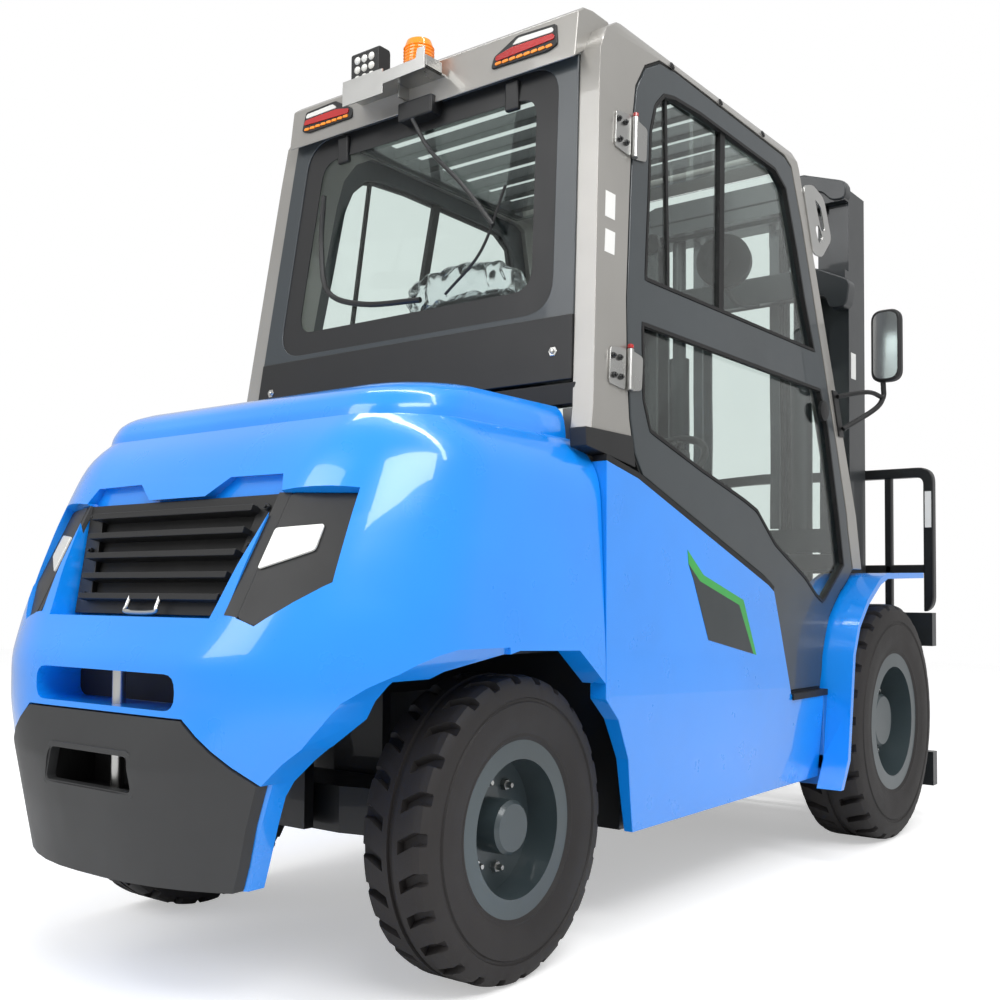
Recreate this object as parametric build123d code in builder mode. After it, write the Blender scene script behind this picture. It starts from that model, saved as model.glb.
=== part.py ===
from build123d import *
from math import cos, degrees, radians, sin, sqrt
import os

os.makedirs("parts", exist_ok=True)

# Electric counterbalance forklift with a closed cab, in millimetres
# X points forward, Y to the left, Z up from the floor
# Side outlines give X from the rear axle, and the origin is under the middle of the whole length

# Layout
wheelbase = 2100
rear_overhang = 690
load_distance = 500
fork_length = 1070
fork_thickness = 55
overall_length = rear_overhang + wheelbase + load_distance + fork_thickness + fork_length
rear_axle_x = rear_overhang - overall_length / 2
front_axle_x = rear_axle_x + wheelbase
running_fit = 0.05
working_gap = 8

# Rear wheels, axle and kingpins
rear_radius = 335
rear_tyre_width = 185
rear_outer_face = 612
rear_rim_radius = 165
rear_flange_radius = 193
rear_hub_radius = 60
rear_spindle_radius = 30
rear_disc_depth = 105
kingpin_y = 400
kingpin_radius = 26
knuckle_barrel_radius = 42
knuckle_barrel_height = 120
axle_beam_height = 110
axle_beam_depth = 180
axle_beam_end_depth = 72
axle_beam_shoulder_y = 140
axle_beam_end_y = 350
yoke_thickness = 26
axle_pivot_radius = 45
axle_pivot_length = 240

# Front wheels and drive axle
front_radius = 412
front_tyre_width = 230
front_outer_face = 735
front_rim_radius = 205
front_flange_radius = 238
front_hub_radius = 92
front_spindle_radius = 48
front_disc_depth = 125
rim_wall = 14
flange_width = 16
tyre_bulge = 14
drive_housing_radius = 105
drive_housing_half = 375
drive_case_radius = 170
drive_case_width = 240

# Body of the truck
body_half = 655
body_bottom = 265
body_shoulder = 640
seam_x = 270
panel_thickness = 45
sill_z = 547
body_front_x = 1612
deck_z = 742
frame_plate = 20
frame_half = 590
front_frame_half = 385
front_frame_top = 640
floor_z = 610
seat_deck_z = 960
arch_front_x = 425

# Counterweight
weight_top = 1220
slab_top = 1300
weight_front_gap = 3
weight_lower_front = -410
weight_lower_half = 470
bumper_thickness = 45
bumper_top = 596

# Cab
cab_belt_z = 1130
cab_belt_half = 640
cab_roof_half = 552
cab_roof_z = 2350
cab_wall = 60
door_thickness = 34
door_gap = 8
roof_rail_depth = 70
roof_bar_count = 8
glass_thickness = 6

# Mast, carriage and forks
mast_half = 490
rail_width = 75
rail_depth = 170
rail_web = 15
rail_flange = 18
rail_rear_x = 2310
rail_bottom = 90
rail_top = 2420
crosshead_top = 2500
inner_clearance = 8
inner_flange = 15
inner_width = 105
lift_stroke = 1500
cylinder_y = 270
cylinder_radius = 42
rod_radius = 28
rod_clearance = 1
barrel_top = 1860
barrel_bottom = 150
chain_y = 170
chain_width = 40
chain_wheel_radius = 48
chain_wheel_z = 2295
carriage_half = 720
carriage_bar_depth = 48
carriage_bar_height = 128
upper_bar_top = 790
lower_bar_bottom = 130
roller_radius = 36
fork_width = 150
fork_centre_y = 270
fork_ground_gap = 30
backrest_top = 1355
backrest_half = 725
backrest_tube = 38

# Tilt cylinders, from a pin on the frame to a pin on the mast
tilt_y = 445
tilt_frame_x = 1560
tilt_frame_z = 500
tilt_mast_x = 2255
tilt_mast_z = 800
tilt_barrel_radius = 38
tilt_rod_radius = 20
tilt_barrel_length = 420
tilt_pin_radius = 14
tilt_eye_clearance = 5


def side_view(y=0):
    """Plane along the truck at Y y: local x forward from the rear axle, local y up, facing -Y."""
    return Plane(origin=(rear_axle_x, y, 0), x_dir=(1, 0, 0), z_dir=(0, -1, 0))


def plan_view(z=0):
    """Level plane at height z: local x forward from the rear axle, local y to the left."""
    return Plane(origin=(rear_axle_x, 0, z))


def cross_view(x=0):
    """Plane across the truck at x from the rear axle: local x to the left, local y up."""
    return Plane(origin=(rear_axle_x + x, 0, 0), x_dir=(0, 1, 0), z_dir=(1, 0, 0))


def wheel_view(axle_x, axle_z):
    """Plane through an axle: local x out to the right, local y the radius, facing back."""
    return Plane(origin=(axle_x, 0, axle_z), x_dir=(0, -1, 0), z_dir=(-1, 0, 0))


def slab(plane, outline, depth, radius=0, both=False):
    """Extrude a closed outline from a plane, its corners rounded by radius."""
    with BuildPart() as block:
        with BuildSketch(plane) as profile:
            Polygon(*outline, align=None)
            if radius:
                fillet(profile.vertices(), radius)
        extrude(amount=depth, both=both)
    return block.part


def bar(x_range, y_range, z_range):
    """Square-edged bar between ranges of x from the rear axle, y and z."""
    (x0, x1), (y0, y1), (z0, z1) = x_range, y_range, z_range
    return slab(plan_view(z0), [(x0, y0), (x1, y0), (x1, y1), (x0, y1)], z1 - z0)


def turned(plane, outline):
    """Turn a closed outline of (distance out, radius) points about the plane's local x axis."""
    with BuildPart() as ring:
        with BuildSketch(plane):
            Polygon(*outline, align=None)
        revolve(axis=Axis(plane.origin, plane.x_dir))
    return ring.part


def rod_between(start, end, radius):
    """Round bar from one point to another."""
    path = Vector(*end) - Vector(*start)
    with BuildPart() as rod:
        with BuildSketch(Plane(origin=start, z_dir=path)):
            Circle(radius)
        extrude(amount=path.length)
    return rod.part


def save(piece, name):
    """Label a finished piece and write it out."""
    piece.part.label = name
    export_step(piece.part, f"parts/{name}.step")


def save_pair(piece, name):
    """Write a right-hand piece and its left-hand twin."""
    with BuildPart() as twin:
        mirror(piece.part, about=Plane.XZ)
    save(piece, f"{name}_right")
    save(twin, f"{name}_left")


# Tyre: solid industrial tyre on its rim, its widest point at the outer and inner faces
def tyre(view, outer, width, radius, rim_radius, flange_radius):
    inner = outer - width
    seat = flange_width + tyre_bulge
    crown = 0.16 * width
    shoulder = radius - 0.13 * (radius - flange_radius)
    with BuildPart() as rubber:
        add(turned(view, [
            (inner + seat, rim_radius), (outer - seat, rim_radius),
            (outer - seat, flange_radius), (outer - tyre_bulge, flange_radius),
            (outer, (flange_radius + shoulder) / 2), (outer - tyre_bulge / 2, shoulder),
            (outer - crown, radius), (inner + crown, radius),
            (inner + tyre_bulge / 2, shoulder), (inner, (flange_radius + shoulder) / 2),
            (inner + tyre_bulge, flange_radius), (inner + seat, flange_radius)]))
    return rubber


# Rim: barrel with two flanges, a disc set deep inside and a hub bored for the spindle
def rim(view, outer, width, radius, flange_radius, disc_depth, hub_radius, bore, cap_out, hub_in):
    inner = outer - width
    seat = flange_width + tyre_bulge
    wall = radius - rim_wall
    disc = outer - disc_depth
    with BuildPart() as metal:
        add(turned(view, [
            (inner + tyre_bulge, wall), (outer - tyre_bulge, wall),
            (outer - tyre_bulge, flange_radius), (outer - seat, flange_radius),
            (outer - seat, radius), (inner + seat, radius),
            (inner + seat, flange_radius), (inner + tyre_bulge, flange_radius)]))
        add(turned(view, [
            (disc - rim_wall, hub_radius - 1), (disc, hub_radius - 1),
            (disc, wall + 1), (disc - rim_wall, wall + 1)]))
        add(turned(view, [
            (inner + hub_in, bore), (outer - cap_out - rim_wall, bore), (outer - cap_out - rim_wall, 0),
            (outer - cap_out, 0), (outer - cap_out, hub_radius - 8),
            (outer - cap_out - 8, hub_radius), (inner + hub_in, hub_radius)]))
    return metal


rear_view = wheel_view(rear_axle_x, rear_radius)
front_view = wheel_view(front_axle_x, front_radius)
rear_cap_out = 28
rear_hub_in = 32
front_cap_out = 52
front_hub_in = 30

rear_tyre = tyre(rear_view, rear_outer_face, rear_tyre_width, rear_radius,
                 rear_rim_radius, rear_flange_radius)
save_pair(rear_tyre, "rear_tyre")
rear_rim = rim(rear_view, rear_outer_face, rear_tyre_width, rear_rim_radius, rear_flange_radius,
               rear_disc_depth, rear_hub_radius, rear_spindle_radius + running_fit,
               rear_cap_out, rear_hub_in)
save_pair(rear_rim, "rear_rim")
front_tyre = tyre(front_view, front_outer_face, front_tyre_width, front_radius,
                  front_rim_radius, front_flange_radius)
save_pair(front_tyre, "front_tyre")
front_rim = rim(front_view, front_outer_face, front_tyre_width, front_rim_radius,
                front_flange_radius, front_disc_depth, front_hub_radius,
                front_spindle_radius + running_fit, front_cap_out, front_hub_in)
save_pair(front_rim, "front_rim")

# Steering knuckle: barrel on the kingpin with the wheel spindle
rear_inner_face = rear_outer_face - rear_tyre_width
spindle_end = rear_outer_face - rear_cap_out - rim_wall - 4
knuckle_axis_right = (rear_axle_x, -kingpin_y)
with BuildPart() as knuckle:
    with BuildSketch(Plane(origin=(rear_axle_x, -kingpin_y, rear_radius - knuckle_barrel_height / 2))):
        Circle(knuckle_barrel_radius)
        Circle(kingpin_radius + running_fit, mode=Mode.SUBTRACT)
    extrude(amount=knuckle_barrel_height)
    spindle_start = kingpin_y + kingpin_radius + 4
    add(rod_between((rear_axle_x, -spindle_start, rear_radius),
                    (rear_axle_x, -spindle_end, rear_radius), rear_spindle_radius))
save_pair(knuckle, "steer_knuckle")

# Steer axle: tapered beam, a yoke at each end round the knuckle, and the pivot bosses on its centre
with BuildPart() as steer_axle:
    beam_half = axle_beam_height / 2
    plan_outline = [
        (-axle_beam_depth / 2, -axle_beam_shoulder_y), (-axle_beam_end_depth / 2, -axle_beam_end_y),
        (axle_beam_end_depth / 2, -axle_beam_end_y), (axle_beam_depth / 2, -axle_beam_shoulder_y),
        (axle_beam_depth / 2, axle_beam_shoulder_y), (axle_beam_end_depth / 2, axle_beam_end_y),
        (-axle_beam_end_depth / 2, axle_beam_end_y), (-axle_beam_depth / 2, axle_beam_shoulder_y)]
    add(slab(plan_view(rear_radius - beam_half), plan_outline, axle_beam_height))
    yoke_gap = 3
    yoke_inner = knuckle_barrel_height / 2 + yoke_gap
    yoke_half_x = axle_beam_end_depth / 2
    for base in (rear_radius + yoke_inner, rear_radius - yoke_inner - yoke_thickness):
        with BuildSketch(plan_view(base)):
            with Locations((0, -kingpin_y)):
                Circle(yoke_half_x)
            Polygon((-yoke_half_x, -kingpin_y), (yoke_half_x, -kingpin_y),
                    (yoke_half_x, -axle_beam_end_y + 60), (-yoke_half_x, -axle_beam_end_y + 60),
                    align=None)
        extrude(amount=yoke_thickness)
    web_height = 2 * (yoke_inner + yoke_thickness)
    add(bar((-yoke_half_x, yoke_half_x), (-axle_beam_end_y, -axle_beam_end_y + 60),
            (rear_radius - web_height / 2, rear_radius + web_height / 2)))
    add(rod_between((rear_axle_x, -kingpin_y, rear_radius - web_height / 2),
                    (rear_axle_x, -kingpin_y, rear_radius + web_height / 2), kingpin_radius))
    mirror(about=Plane.XZ)
    add(rod_between((rear_axle_x - axle_pivot_length / 2, 0, rear_radius),
                    (rear_axle_x + axle_pivot_length / 2, 0, rear_radius), axle_pivot_radius))
save(steer_axle, "steer_axle")

# Drive axle: housing tube, bulging gear case, and spindles for the front wheels
front_inner_face = front_outer_face - front_tyre_width
front_spindle_end = front_outer_face - front_cap_out - rim_wall - 4
with BuildPart() as drive_axle:
    add(turned(front_view, [
        (0, 0), (0, drive_case_radius), (drive_case_width / 2 - 40, drive_case_radius),
        (drive_case_width / 2 + 30, drive_housing_radius), (drive_housing_half, drive_housing_radius),
        (drive_housing_half, drive_housing_radius - 20), (front_inner_face + front_hub_in - 6, 78),
        (front_inner_face + front_hub_in - 6, front_spindle_radius),
        (front_spindle_end, front_spindle_radius), (front_spindle_end, 0)]))
    mirror(about=Plane.XZ)
save(drive_axle, "drive_axle")

# Frame: floor pan with side plates, bulkheads, a deck over the steer axle and two horns
hanger_half = 85
hanger_thickness = 30
deck_thickness = 30
pan_thickness = 20
deck_rear_x = weight_lower_front + 10
with BuildPart() as frame:
    add(bar((arch_front_x + 15, body_front_x - 4), (-frame_half, frame_half),
            (body_bottom, body_bottom + pan_thickness)))
    for y in (-frame_half, frame_half - frame_plate):
        add(bar((arch_front_x + 15, body_front_x - 4), (y, y + frame_plate),
                (body_bottom, sill_z - 12)))
    add(bar((arch_front_x + 15, arch_front_x + 15 + frame_plate), (-frame_half, frame_half),
            (body_bottom, deck_z)))
    add(bar((deck_rear_x, arch_front_x + 15 + frame_plate), (-frame_half + 40, frame_half - 40),
            (deck_z - deck_thickness, deck_z)))
    add(bar((deck_rear_x, arch_front_x + 16), (-hanger_half, hanger_half),
            (deck_z - deck_thickness - 120, deck_z - deck_thickness)))
    for x in (-axle_pivot_length / 2 - hanger_thickness, axle_pivot_length / 2):
        add(bar((x, x + hanger_thickness), (-hanger_half, hanger_half),
                (rear_radius - axle_pivot_radius, deck_z - deck_thickness)))
    for y in (-front_frame_half, front_frame_half - frame_plate):
        with BuildSketch(side_view(y + frame_plate)):
            Polygon((body_front_x - 60, body_bottom), (wheelbase - 40, body_bottom),
                    (wheelbase + 95, front_radius - drive_housing_radius),
                    (wheelbase + 95, front_radius + drive_housing_radius + 20),
                    (wheelbase + 20, front_frame_top), (body_front_x - 8, front_frame_top),
                    (body_front_x - 8, floor_z - 22), (body_front_x - 60, floor_z - 22),
                    align=None)
        extrude(amount=frame_plate)
    for y in (-tilt_y - 57, -tilt_y + 45):
        with BuildSketch(side_view(y + 12)):
            Polygon((tilt_frame_x - 60, body_bottom), (tilt_frame_x - 30, tilt_frame_z + 30),
                    (tilt_frame_x + 30, tilt_frame_z + 30), (body_front_x - 4, body_bottom),
                    align=None)
        extrude(amount=12)
    add(rod_between((rear_axle_x + tilt_frame_x, -tilt_y - 57, tilt_frame_z),
                    (rear_axle_x + tilt_frame_x, -tilt_y + 57, tilt_frame_z), tilt_pin_radius))
    mirror(about=Plane.XZ)
    add(turned(front_view, [(-front_frame_half, 0), (-front_frame_half, drive_housing_radius),
                            (front_frame_half, drive_housing_radius), (front_frame_half, 0)]),
        mode=Mode.SUBTRACT)
    add(rod_between((rear_axle_x - axle_pivot_length / 2, 0, rear_radius),
                    (rear_axle_x + axle_pivot_length / 2, 0, rear_radius), axle_pivot_radius),
        mode=Mode.SUBTRACT)
save(frame, "chassis_frame")

# Battery: one closed block between the side plates
battery_front = 1250
battery_half = 520
battery_top = 900
with BuildPart() as battery:
    add(bar((arch_front_x + 45, battery_front), (-battery_half, battery_half),
            (body_bottom + pan_thickness, battery_top)))
save(battery, "battery")


# Counterweight: plan outlines at several heights, blended, with rounded rear corners
def blended(sections):
    """Blend level outlines of (height, rear x, half width, corner radius, front x)."""
    with BuildPart() as body:
        for z, rear_x, half, radius, front_x in sections:
            with BuildSketch(plan_view(z)) as level:
                Polygon((front_x, -half), (front_x, half), (rear_x, half), (rear_x, -half),
                        align=None)
                fillet(level.vertices().group_by(Axis.X)[0], radius)
        loft(ruled=True)
    return body.part


arch_outline = [(-760, 560), (-613, 640), (-455, 690), (-276, 728), (-72, 740), (81, 722),
                (313, 605), (arch_front_x, 450), (arch_front_x + 75, body_bottom),
                (arch_front_x + 75, -10), (-760, -10)]
weight_front = seam_x - weight_front_gap
arch_inner_half = hanger_half + working_gap
arch_depth = body_half + 10 - arch_inner_half
foot_sections = [(body_bottom, -625, 640, 560, 0), (500, -645, 640, 480, 0),
                 (bumper_top, -650, 640, 400, 0)]
grille_outline = [(-272, 794), (272, 794), (335, 1025), (-335, 1025)]
tow_pin_x = -609
tow_pin_radius = 14
pin_play = 1
with BuildPart() as counterweight:
    add(blended([(bumper_top, -655, body_half, 400, weight_front),
                 (700, -655, body_half, 390, weight_front),
                 (794, -600, body_half - 4, 350, weight_front),
                 (1080, -455, body_shoulder, 250, weight_front),
                 (1130, -425, body_shoulder - 8, 220, weight_front),
                 (weight_top, -345, 565, 150, weight_front)]))
    for y in (body_half + 10, -arch_inner_half):
        add(slab(side_view(y), arch_outline, arch_depth), mode=Mode.SUBTRACT)
    add(bar((weight_lower_front, seam_x), (-frame_half - 1, frame_half + 1), (0, deck_z)),
        mode=Mode.SUBTRACT)
    add(blended(foot_sections) & bar((-700, weight_lower_front), (-weight_lower_half, weight_lower_half), (0, 700)))
    add(slab(side_view(), [(-800, 794), (-522, 794), (-450, 1025), (-800, 1025)],
             335, both=True) & slab(cross_view(-800), grille_outline, 500), mode=Mode.SUBTRACT)
    add(slab(cross_view(-700), [(-230, 616), (230, 616), (230, 686), (-230, 686)], 160, radius=34),
        mode=Mode.SUBTRACT)
    add(bar((-700, -560), (-150, 150), (430, 530)), mode=Mode.SUBTRACT)
    add(rod_between((rear_axle_x + tow_pin_x, 0, 380), (rear_axle_x + tow_pin_x, 0, 760),
                    tow_pin_radius + pin_play), mode=Mode.SUBTRACT)
save(counterweight, "counterweight")

# Slab on top of the counterweight
with BuildPart() as weight_cover:
    add(blended([(weight_top, -335, 560, 150, weight_front - 30),
                 (slab_top, -250, 545, 130, weight_front - 30)]))
save(weight_cover, "counterweight_cover")

# Dark lower panel with the tow opening
with BuildPart() as bumper:
    add(blended([(body_bottom, -670, 645, 590, 0), (500, -rear_overhang, 645, 510, 0),
                 (bumper_top, -656, 645, 410, 0)]))
    add(bar((-700, -300), (-weight_lower_half - 4, weight_lower_half + 4), (0, 700)),
        mode=Mode.INTERSECT)
    add(blended(foot_sections), mode=Mode.SUBTRACT)
    add(bar((-560, 0), (-700, 700), (0, 700)), mode=Mode.SUBTRACT)
    add(slab(cross_view(-700), [(-151, 445), (151, 445), (134, 521), (-134, 521)], 160),
        mode=Mode.SUBTRACT)
save(bumper, "rear_bumper")

# Tow pin through both openings
with BuildPart() as tow_pin:
    add(rod_between((rear_axle_x + tow_pin_x, 0, 400), (rear_axle_x + tow_pin_x, 0, 740),
                    tow_pin_radius))
save(tow_pin, "tow_pin")

# Rear grille: plate in the recess with four open slots between five bars
with BuildPart() as grille:
    add(slab(side_view(), [(-542, 795), (-524, 795), (-452, 1024), (-470, 1024)], 334, both=True)
        & slab(cross_view(-800), [(-270, 795), (270, 795), (332, 1024), (-332, 1024)], 500))
    for row in range(4):
        z = 830 + row * 45
        add(bar((-700, -400), (-215, 215), (z, z + 22)), mode=Mode.SUBTRACT)
save(grille, "rear_grille")

# Side panels with the belt line and the sill under the door
side_outline = [(seam_x, 1155), (417, 1125), (1185, 881), (1240, 835), (1315, sill_z),
                (body_front_x, sill_z), (body_front_x, body_bottom),
                (arch_front_x + 75, body_bottom), (arch_front_x, 450), (313, 605), (seam_x, 632)]
with BuildPart() as side_panels:
    add(slab(side_view(-body_half + panel_thickness), side_outline, panel_thickness))
    mirror(about=Plane.XZ)
save(side_panels, "side_panels")

# Black trim along the belt line
with BuildPart() as belt_trims:
    belt = [(seam_x, 1155), (417, 1125), (1185, 881), (1240, 835)]
    with BuildSketch(side_view(-body_half + panel_thickness)):
        Polygon(*belt, *[(x + 8, z + 26) for x, z in reversed(belt)], align=None)
    extrude(amount=panel_thickness - 6)
    mirror(about=Plane.XZ)
save(belt_trims, "belt_trims")

# Front fenders over the drive wheels
fender_inner_half = 505
fender_outer_half = 705
fender_arch_radius = 455
fender_top = 942
fender_outline = [(body_front_x, 236), (body_front_x, 530), (1660, 560), (1662, 700),
                  (1735, 837), (1878, 912), (1995, fender_top), (2400, fender_top), (2415, 900),
                  (2415, 236)]
with BuildPart() as fenders:
    add(slab(side_view(-fender_inner_half), fender_outline, fender_outer_half - fender_inner_half))
    add(turned(front_view, [(0, 0), (0, fender_arch_radius), (800, fender_arch_radius), (800, 0)]),
        mode=Mode.SUBTRACT)
    add(bar((wheelbase - 100, wheelbase + 600), (-800, 0), (0, 560)), mode=Mode.SUBTRACT)
    mirror(about=Plane.XZ)
save(fenders, "front_fenders")


# Floor and battery cover under the seat
with BuildPart() as cab_floor:
    add(bar((1262, 1600), (-585, 585), (floor_z - 20, floor_z)))
    add(bar((1262, 1282), (-535, 535), (floor_z, seat_deck_z)))
    add(bar((300, 1282), (-535, 535), (seat_deck_z - 20, seat_deck_z)))
    add(bar((1590, 2060), (-front_frame_half, front_frame_half), (front_frame_top, front_frame_top + 16)))
    add(bar((1584, 1600), (-front_frame_half, front_frame_half), (floor_z, front_frame_top + 16)))
    add(bar((300, 320), (-535, 535), (deck_z, seat_deck_z)))
save(cab_floor, "cab_floor")


def wall_section(outer, inner):
    """Cross-section of the right cab wall between two depths inside its outer face."""
    lean = (cab_belt_half - cab_roof_half) / (cab_roof_z - cab_belt_z)
    top = cab_roof_z + 40
    top_half = cab_belt_half - lean * (top - cab_belt_z)
    return [(-cab_belt_half + outer, 400), (-cab_belt_half + outer, cab_belt_z),
            (-top_half + outer, top), (-top_half + inner, top),
            (-cab_belt_half + inner, cab_belt_z), (-cab_belt_half + inner, 400)]


def wall(outline, outer, inner, radius=0):
    """Right cab wall between two depths, cut to a side outline."""
    with BuildPart() as piece:
        with BuildSketch(side_view()) as profile:
            Polygon(*outline, align=None)
            if radius:
                fillet(profile.vertices(), radius)
        extrude(amount=800)
        with BuildSketch(cross_view(0)):
            Polygon(*wall_section(outer, inner), align=None)
        extrude(amount=2400, mode=Mode.INTERSECT)
    return piece.part


# Cab frame: two side frames, the rear fascia, the front header and the cowl bar
frame_outline = [(240, weight_top + 6), (240, 1440), (270, 1730), (329, 2090), (356, 2190),
                 (420, 2300), (500, cab_roof_z), (1545, cab_roof_z), (1615, 2290), (2006, 1554),
                 (2160, fender_top), (2040, fender_top), (2040, 1000), (1905, 1520),
                 (1520, 2262), (560, 2262), (500, 2200), (470, 2100), (440, 1800),
                 (430, deck_z), (272, deck_z), (272, weight_top + 6)]
frame_wall_outer = door_thickness + door_gap
fascia_half = 500
cowl_half = 545


def fascia():
    """Sloping panel across the cab over the rear window."""
    return slab(side_view(), [(361, 2336), (420, 2345), (440, 2225), (379, 2227)],
                fascia_half, both=True)


def cab_hollow(outline, gap):
    """Full-width piece between the side frames, cut to a side outline."""
    lean = (cab_belt_half - cab_roof_half) / (cab_roof_z - cab_belt_z)
    inner = cab_belt_half - frame_wall_outer - cab_wall - gap
    top_half = inner - lean * (cab_roof_z - cab_belt_z)
    with BuildPart() as piece:
        with BuildSketch(side_view()):
            Polygon(*outline, align=None)
        extrude(amount=cab_belt_half, both=True)
        with BuildSketch(cross_view(0)):
            Polygon((-inner, 400), (-inner, cab_belt_z), (-top_half, cab_roof_z),
                    (top_half, cab_roof_z), (inner, cab_belt_z), (inner, 400), align=None)
        extrude(amount=2400, mode=Mode.INTERSECT)
    return piece.part


with BuildPart() as cab_frame:
    add(wall(frame_outline, frame_wall_outer, frame_wall_outer + cab_wall))
    mirror(about=Plane.XZ)
    add(fascia())
    add(slab(side_view(), [(1500, 2290), (1602, 2290), (1570, cab_roof_z), (1500, cab_roof_z)],
             fascia_half, both=True))
    add(bar((2050, 2140), (-cowl_half, cowl_half), (fender_top, 1000)))
    add(bar((252, 300), (-540, 540), (slab_top + 5, slab_top + 60)))
save(cab_frame, "cab_frame")

# Roof guard bars with the glass under them
with BuildPart() as roof_guard:
    for index in range(roof_bar_count):
        x = 500 + index * 130
        add(bar((x, x + 40), (-440, 440), (2290, 2330)))
    for y in (-447, 417):
        add(bar((455, 1495), (y, y + 30), (2285, 2335)))
save(roof_guard, "roof_guard")

# Rear panel of the cab below the window
rear_panel_outline = [(255, 1365), (300, 1365), (318, 1530), (274, 1530)]
with BuildPart() as rear_panel:
    add(slab(side_view(), rear_panel_outline, 500, both=True))
save(rear_panel, "rear_panel")

# Glass: rear window, windscreen and roof pane
with BuildPart() as cab_glass:
    add(cab_hollow([(276, 1534), (276 + glass_thickness, 1534),
                    (372 + glass_thickness, 2222), (372, 2222)], 1))
    add(cab_hollow([(2120, 1005), (2120 + glass_thickness, 1005), (1990, 1554),
                    (1600, 2289), (1600 - glass_thickness, 2287), (1990 - 7, 1552)], 1))
    add(bar((445, 1498), (-445, 445), (2278, 2284)))
save(cab_glass, "cab_glass")

# Cowl below the windscreen with the dashboard and steering column
with BuildPart() as dashboard:
    add(slab(side_view(), [(2050, fender_top), (2135, fender_top), (2130, 800), (2060, 656), (2042, 656), (2040, 656),
                           (2040, 940), (1900, 1130), (1880, 1110), (2020, 900)],
             front_frame_half - 5, both=True))
    add(rod_between((rear_axle_x + 1940, 0, 1060), (rear_axle_x + 1735, 0, 1310), 32))
save(dashboard, "dashboard")

# Steering wheel on the column
wheel_plane = Plane(origin=(rear_axle_x + 1735, 0, 1310), z_dir=(-205, 0, 250))
with BuildPart() as steering_wheel:
    with BuildSketch(wheel_plane.offset(12)):
        Circle(45)
    extrude(amount=25)
    with BuildSketch(wheel_plane.offset(20)):
        with PolarLocations(0, 3):
            Polygon((0, -14), (165, -10), (165, 10), (0, 14), align=None)
    extrude(amount=12)
    with BuildSketch(Plane(origin=wheel_plane.origin, x_dir=wheel_plane.x_dir,
                           z_dir=-wheel_plane.y_dir)):
        with Locations((165, 26)):
            Circle(14)
    revolve(axis=Axis(wheel_plane.origin, wheel_plane.z_dir))
save(steering_wheel, "steering_wheel")

# Seat: base, cushion and back, with an armrest console for the levers
with BuildPart() as seat_base:
    add(bar((640, 1130), (-200, 200), (seat_deck_z, seat_deck_z + 120)))
save(seat_base, "seat_base")
with BuildPart() as seat_cushion:
    add(slab(side_view(), [(620, seat_deck_z + 121), (1180, seat_deck_z + 121),
                           (1200, seat_deck_z + 230), (620, seat_deck_z + 200)], 240, both=True))
save(seat_cushion, "seat_cushion")
with BuildPart() as seat_back:
    add(slab(side_view(), [(590, seat_deck_z + 205), (720, seat_deck_z + 207),
                           (640, seat_deck_z + 760), (520, seat_deck_z + 760)], 230, both=True))
save(seat_back, "seat_back")
with BuildPart() as console:
    add(bar((760, 1200), (-400, -290), (seat_deck_z, seat_deck_z + 260)))
    for index in range(4):
        add(rod_between((rear_axle_x + 1140, -385 + index * 26, seat_deck_z + 255),
                        (rear_axle_x + 1140, -385 + index * 26, seat_deck_z + 350), 6))
save(console, "lever_console")

# Doors: frame with two openings cut for the glass
door_outline = [(478, 1160), (448, 1250), (446, 1840), (468, 2080), (498, 2175), (560, 2236),
                (650, 2250), (1462, 2250), (1543, 2144), (1711, 1780), (1890, 1394),
                (1964, 1189), (2045, 965), (1870, 965), (1735, 885), (1650, 780), (1642, 700),
                (1642, 556), (1334, 556), (1262, 865), (1217, 905)]
upper_window = [(560, 1700), (560, 2060), (600, 2170), (670, 2195), (1400, 2195), (1640, 1700)]
lower_window = [(560, 1640), (575, 1250), (1228, 1060), (1380, 1010), (1480, 960), (1680, 900),
                (1740, 965), (1940, 1030), (1880, 1230), (1690, 1640)]
with BuildPart() as door:
    add(wall(door_outline, 0, door_thickness))
    for opening in (upper_window, lower_window):
        with BuildSketch(side_view()):
            Polygon(*opening, align=None)
        extrude(amount=800, mode=Mode.SUBTRACT)
save_pair(door, "door_frame")
with BuildPart() as door_glass:
    for opening in (upper_window, lower_window):
        add(wall(opening, 14, 14 + glass_thickness))
save_pair(door_glass, "door_glass")

# Mirrors on bent arms
with BuildPart() as mirrors:
    mirror_y = -737
    add(bar((1985, 2020), (mirror_y - 75, mirror_y + 75), (1600, 1850)))
    add(wall([(1960, 1395), (2050, 1395), (2010, 1545), (1920, 1545)],
             frame_wall_outer - 12, frame_wall_outer))
    for z in (1420, 1520):
        add(rod_between((rear_axle_x + 1985, -583, z), (rear_axle_x + 2002, mirror_y, z + 40), 9))
    add(rod_between((rear_axle_x + 2002, mirror_y, 1440), (rear_axle_x + 2002, mirror_y, 1620), 9))
    mirror(about=Plane.XZ)
save(mirrors, "mirrors")

# Rear lamps on the fascia
with BuildPart() as rear_lamps:
    with BuildSketch(cross_view(330)):
        Polygon((-228, 2256), (-444, 2240), (-444, 2317), align=None)
    extrude(amount=60)
    add(fascia(), mode=Mode.SUBTRACT)
    mirror(about=Plane.XZ)
save(rear_lamps, "rear_lamps")

# Bracket with the beacon and work lamp over the rear of the roof
with BuildPart() as lamp_bracket:
    add(bar((262, 360), (-72, 215), (2268, 2276)))
    add(bar((262, 304), (60, 180), (2276, 2352)))
save(lamp_bracket, "lamp_bracket")
with BuildPart() as beacon:
    with BuildSketch(Plane(origin=(rear_axle_x + 308, -25, 2276))):
        Circle(42)
    extrude(amount=95, taper=6)
save(beacon, "beacon")

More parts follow.
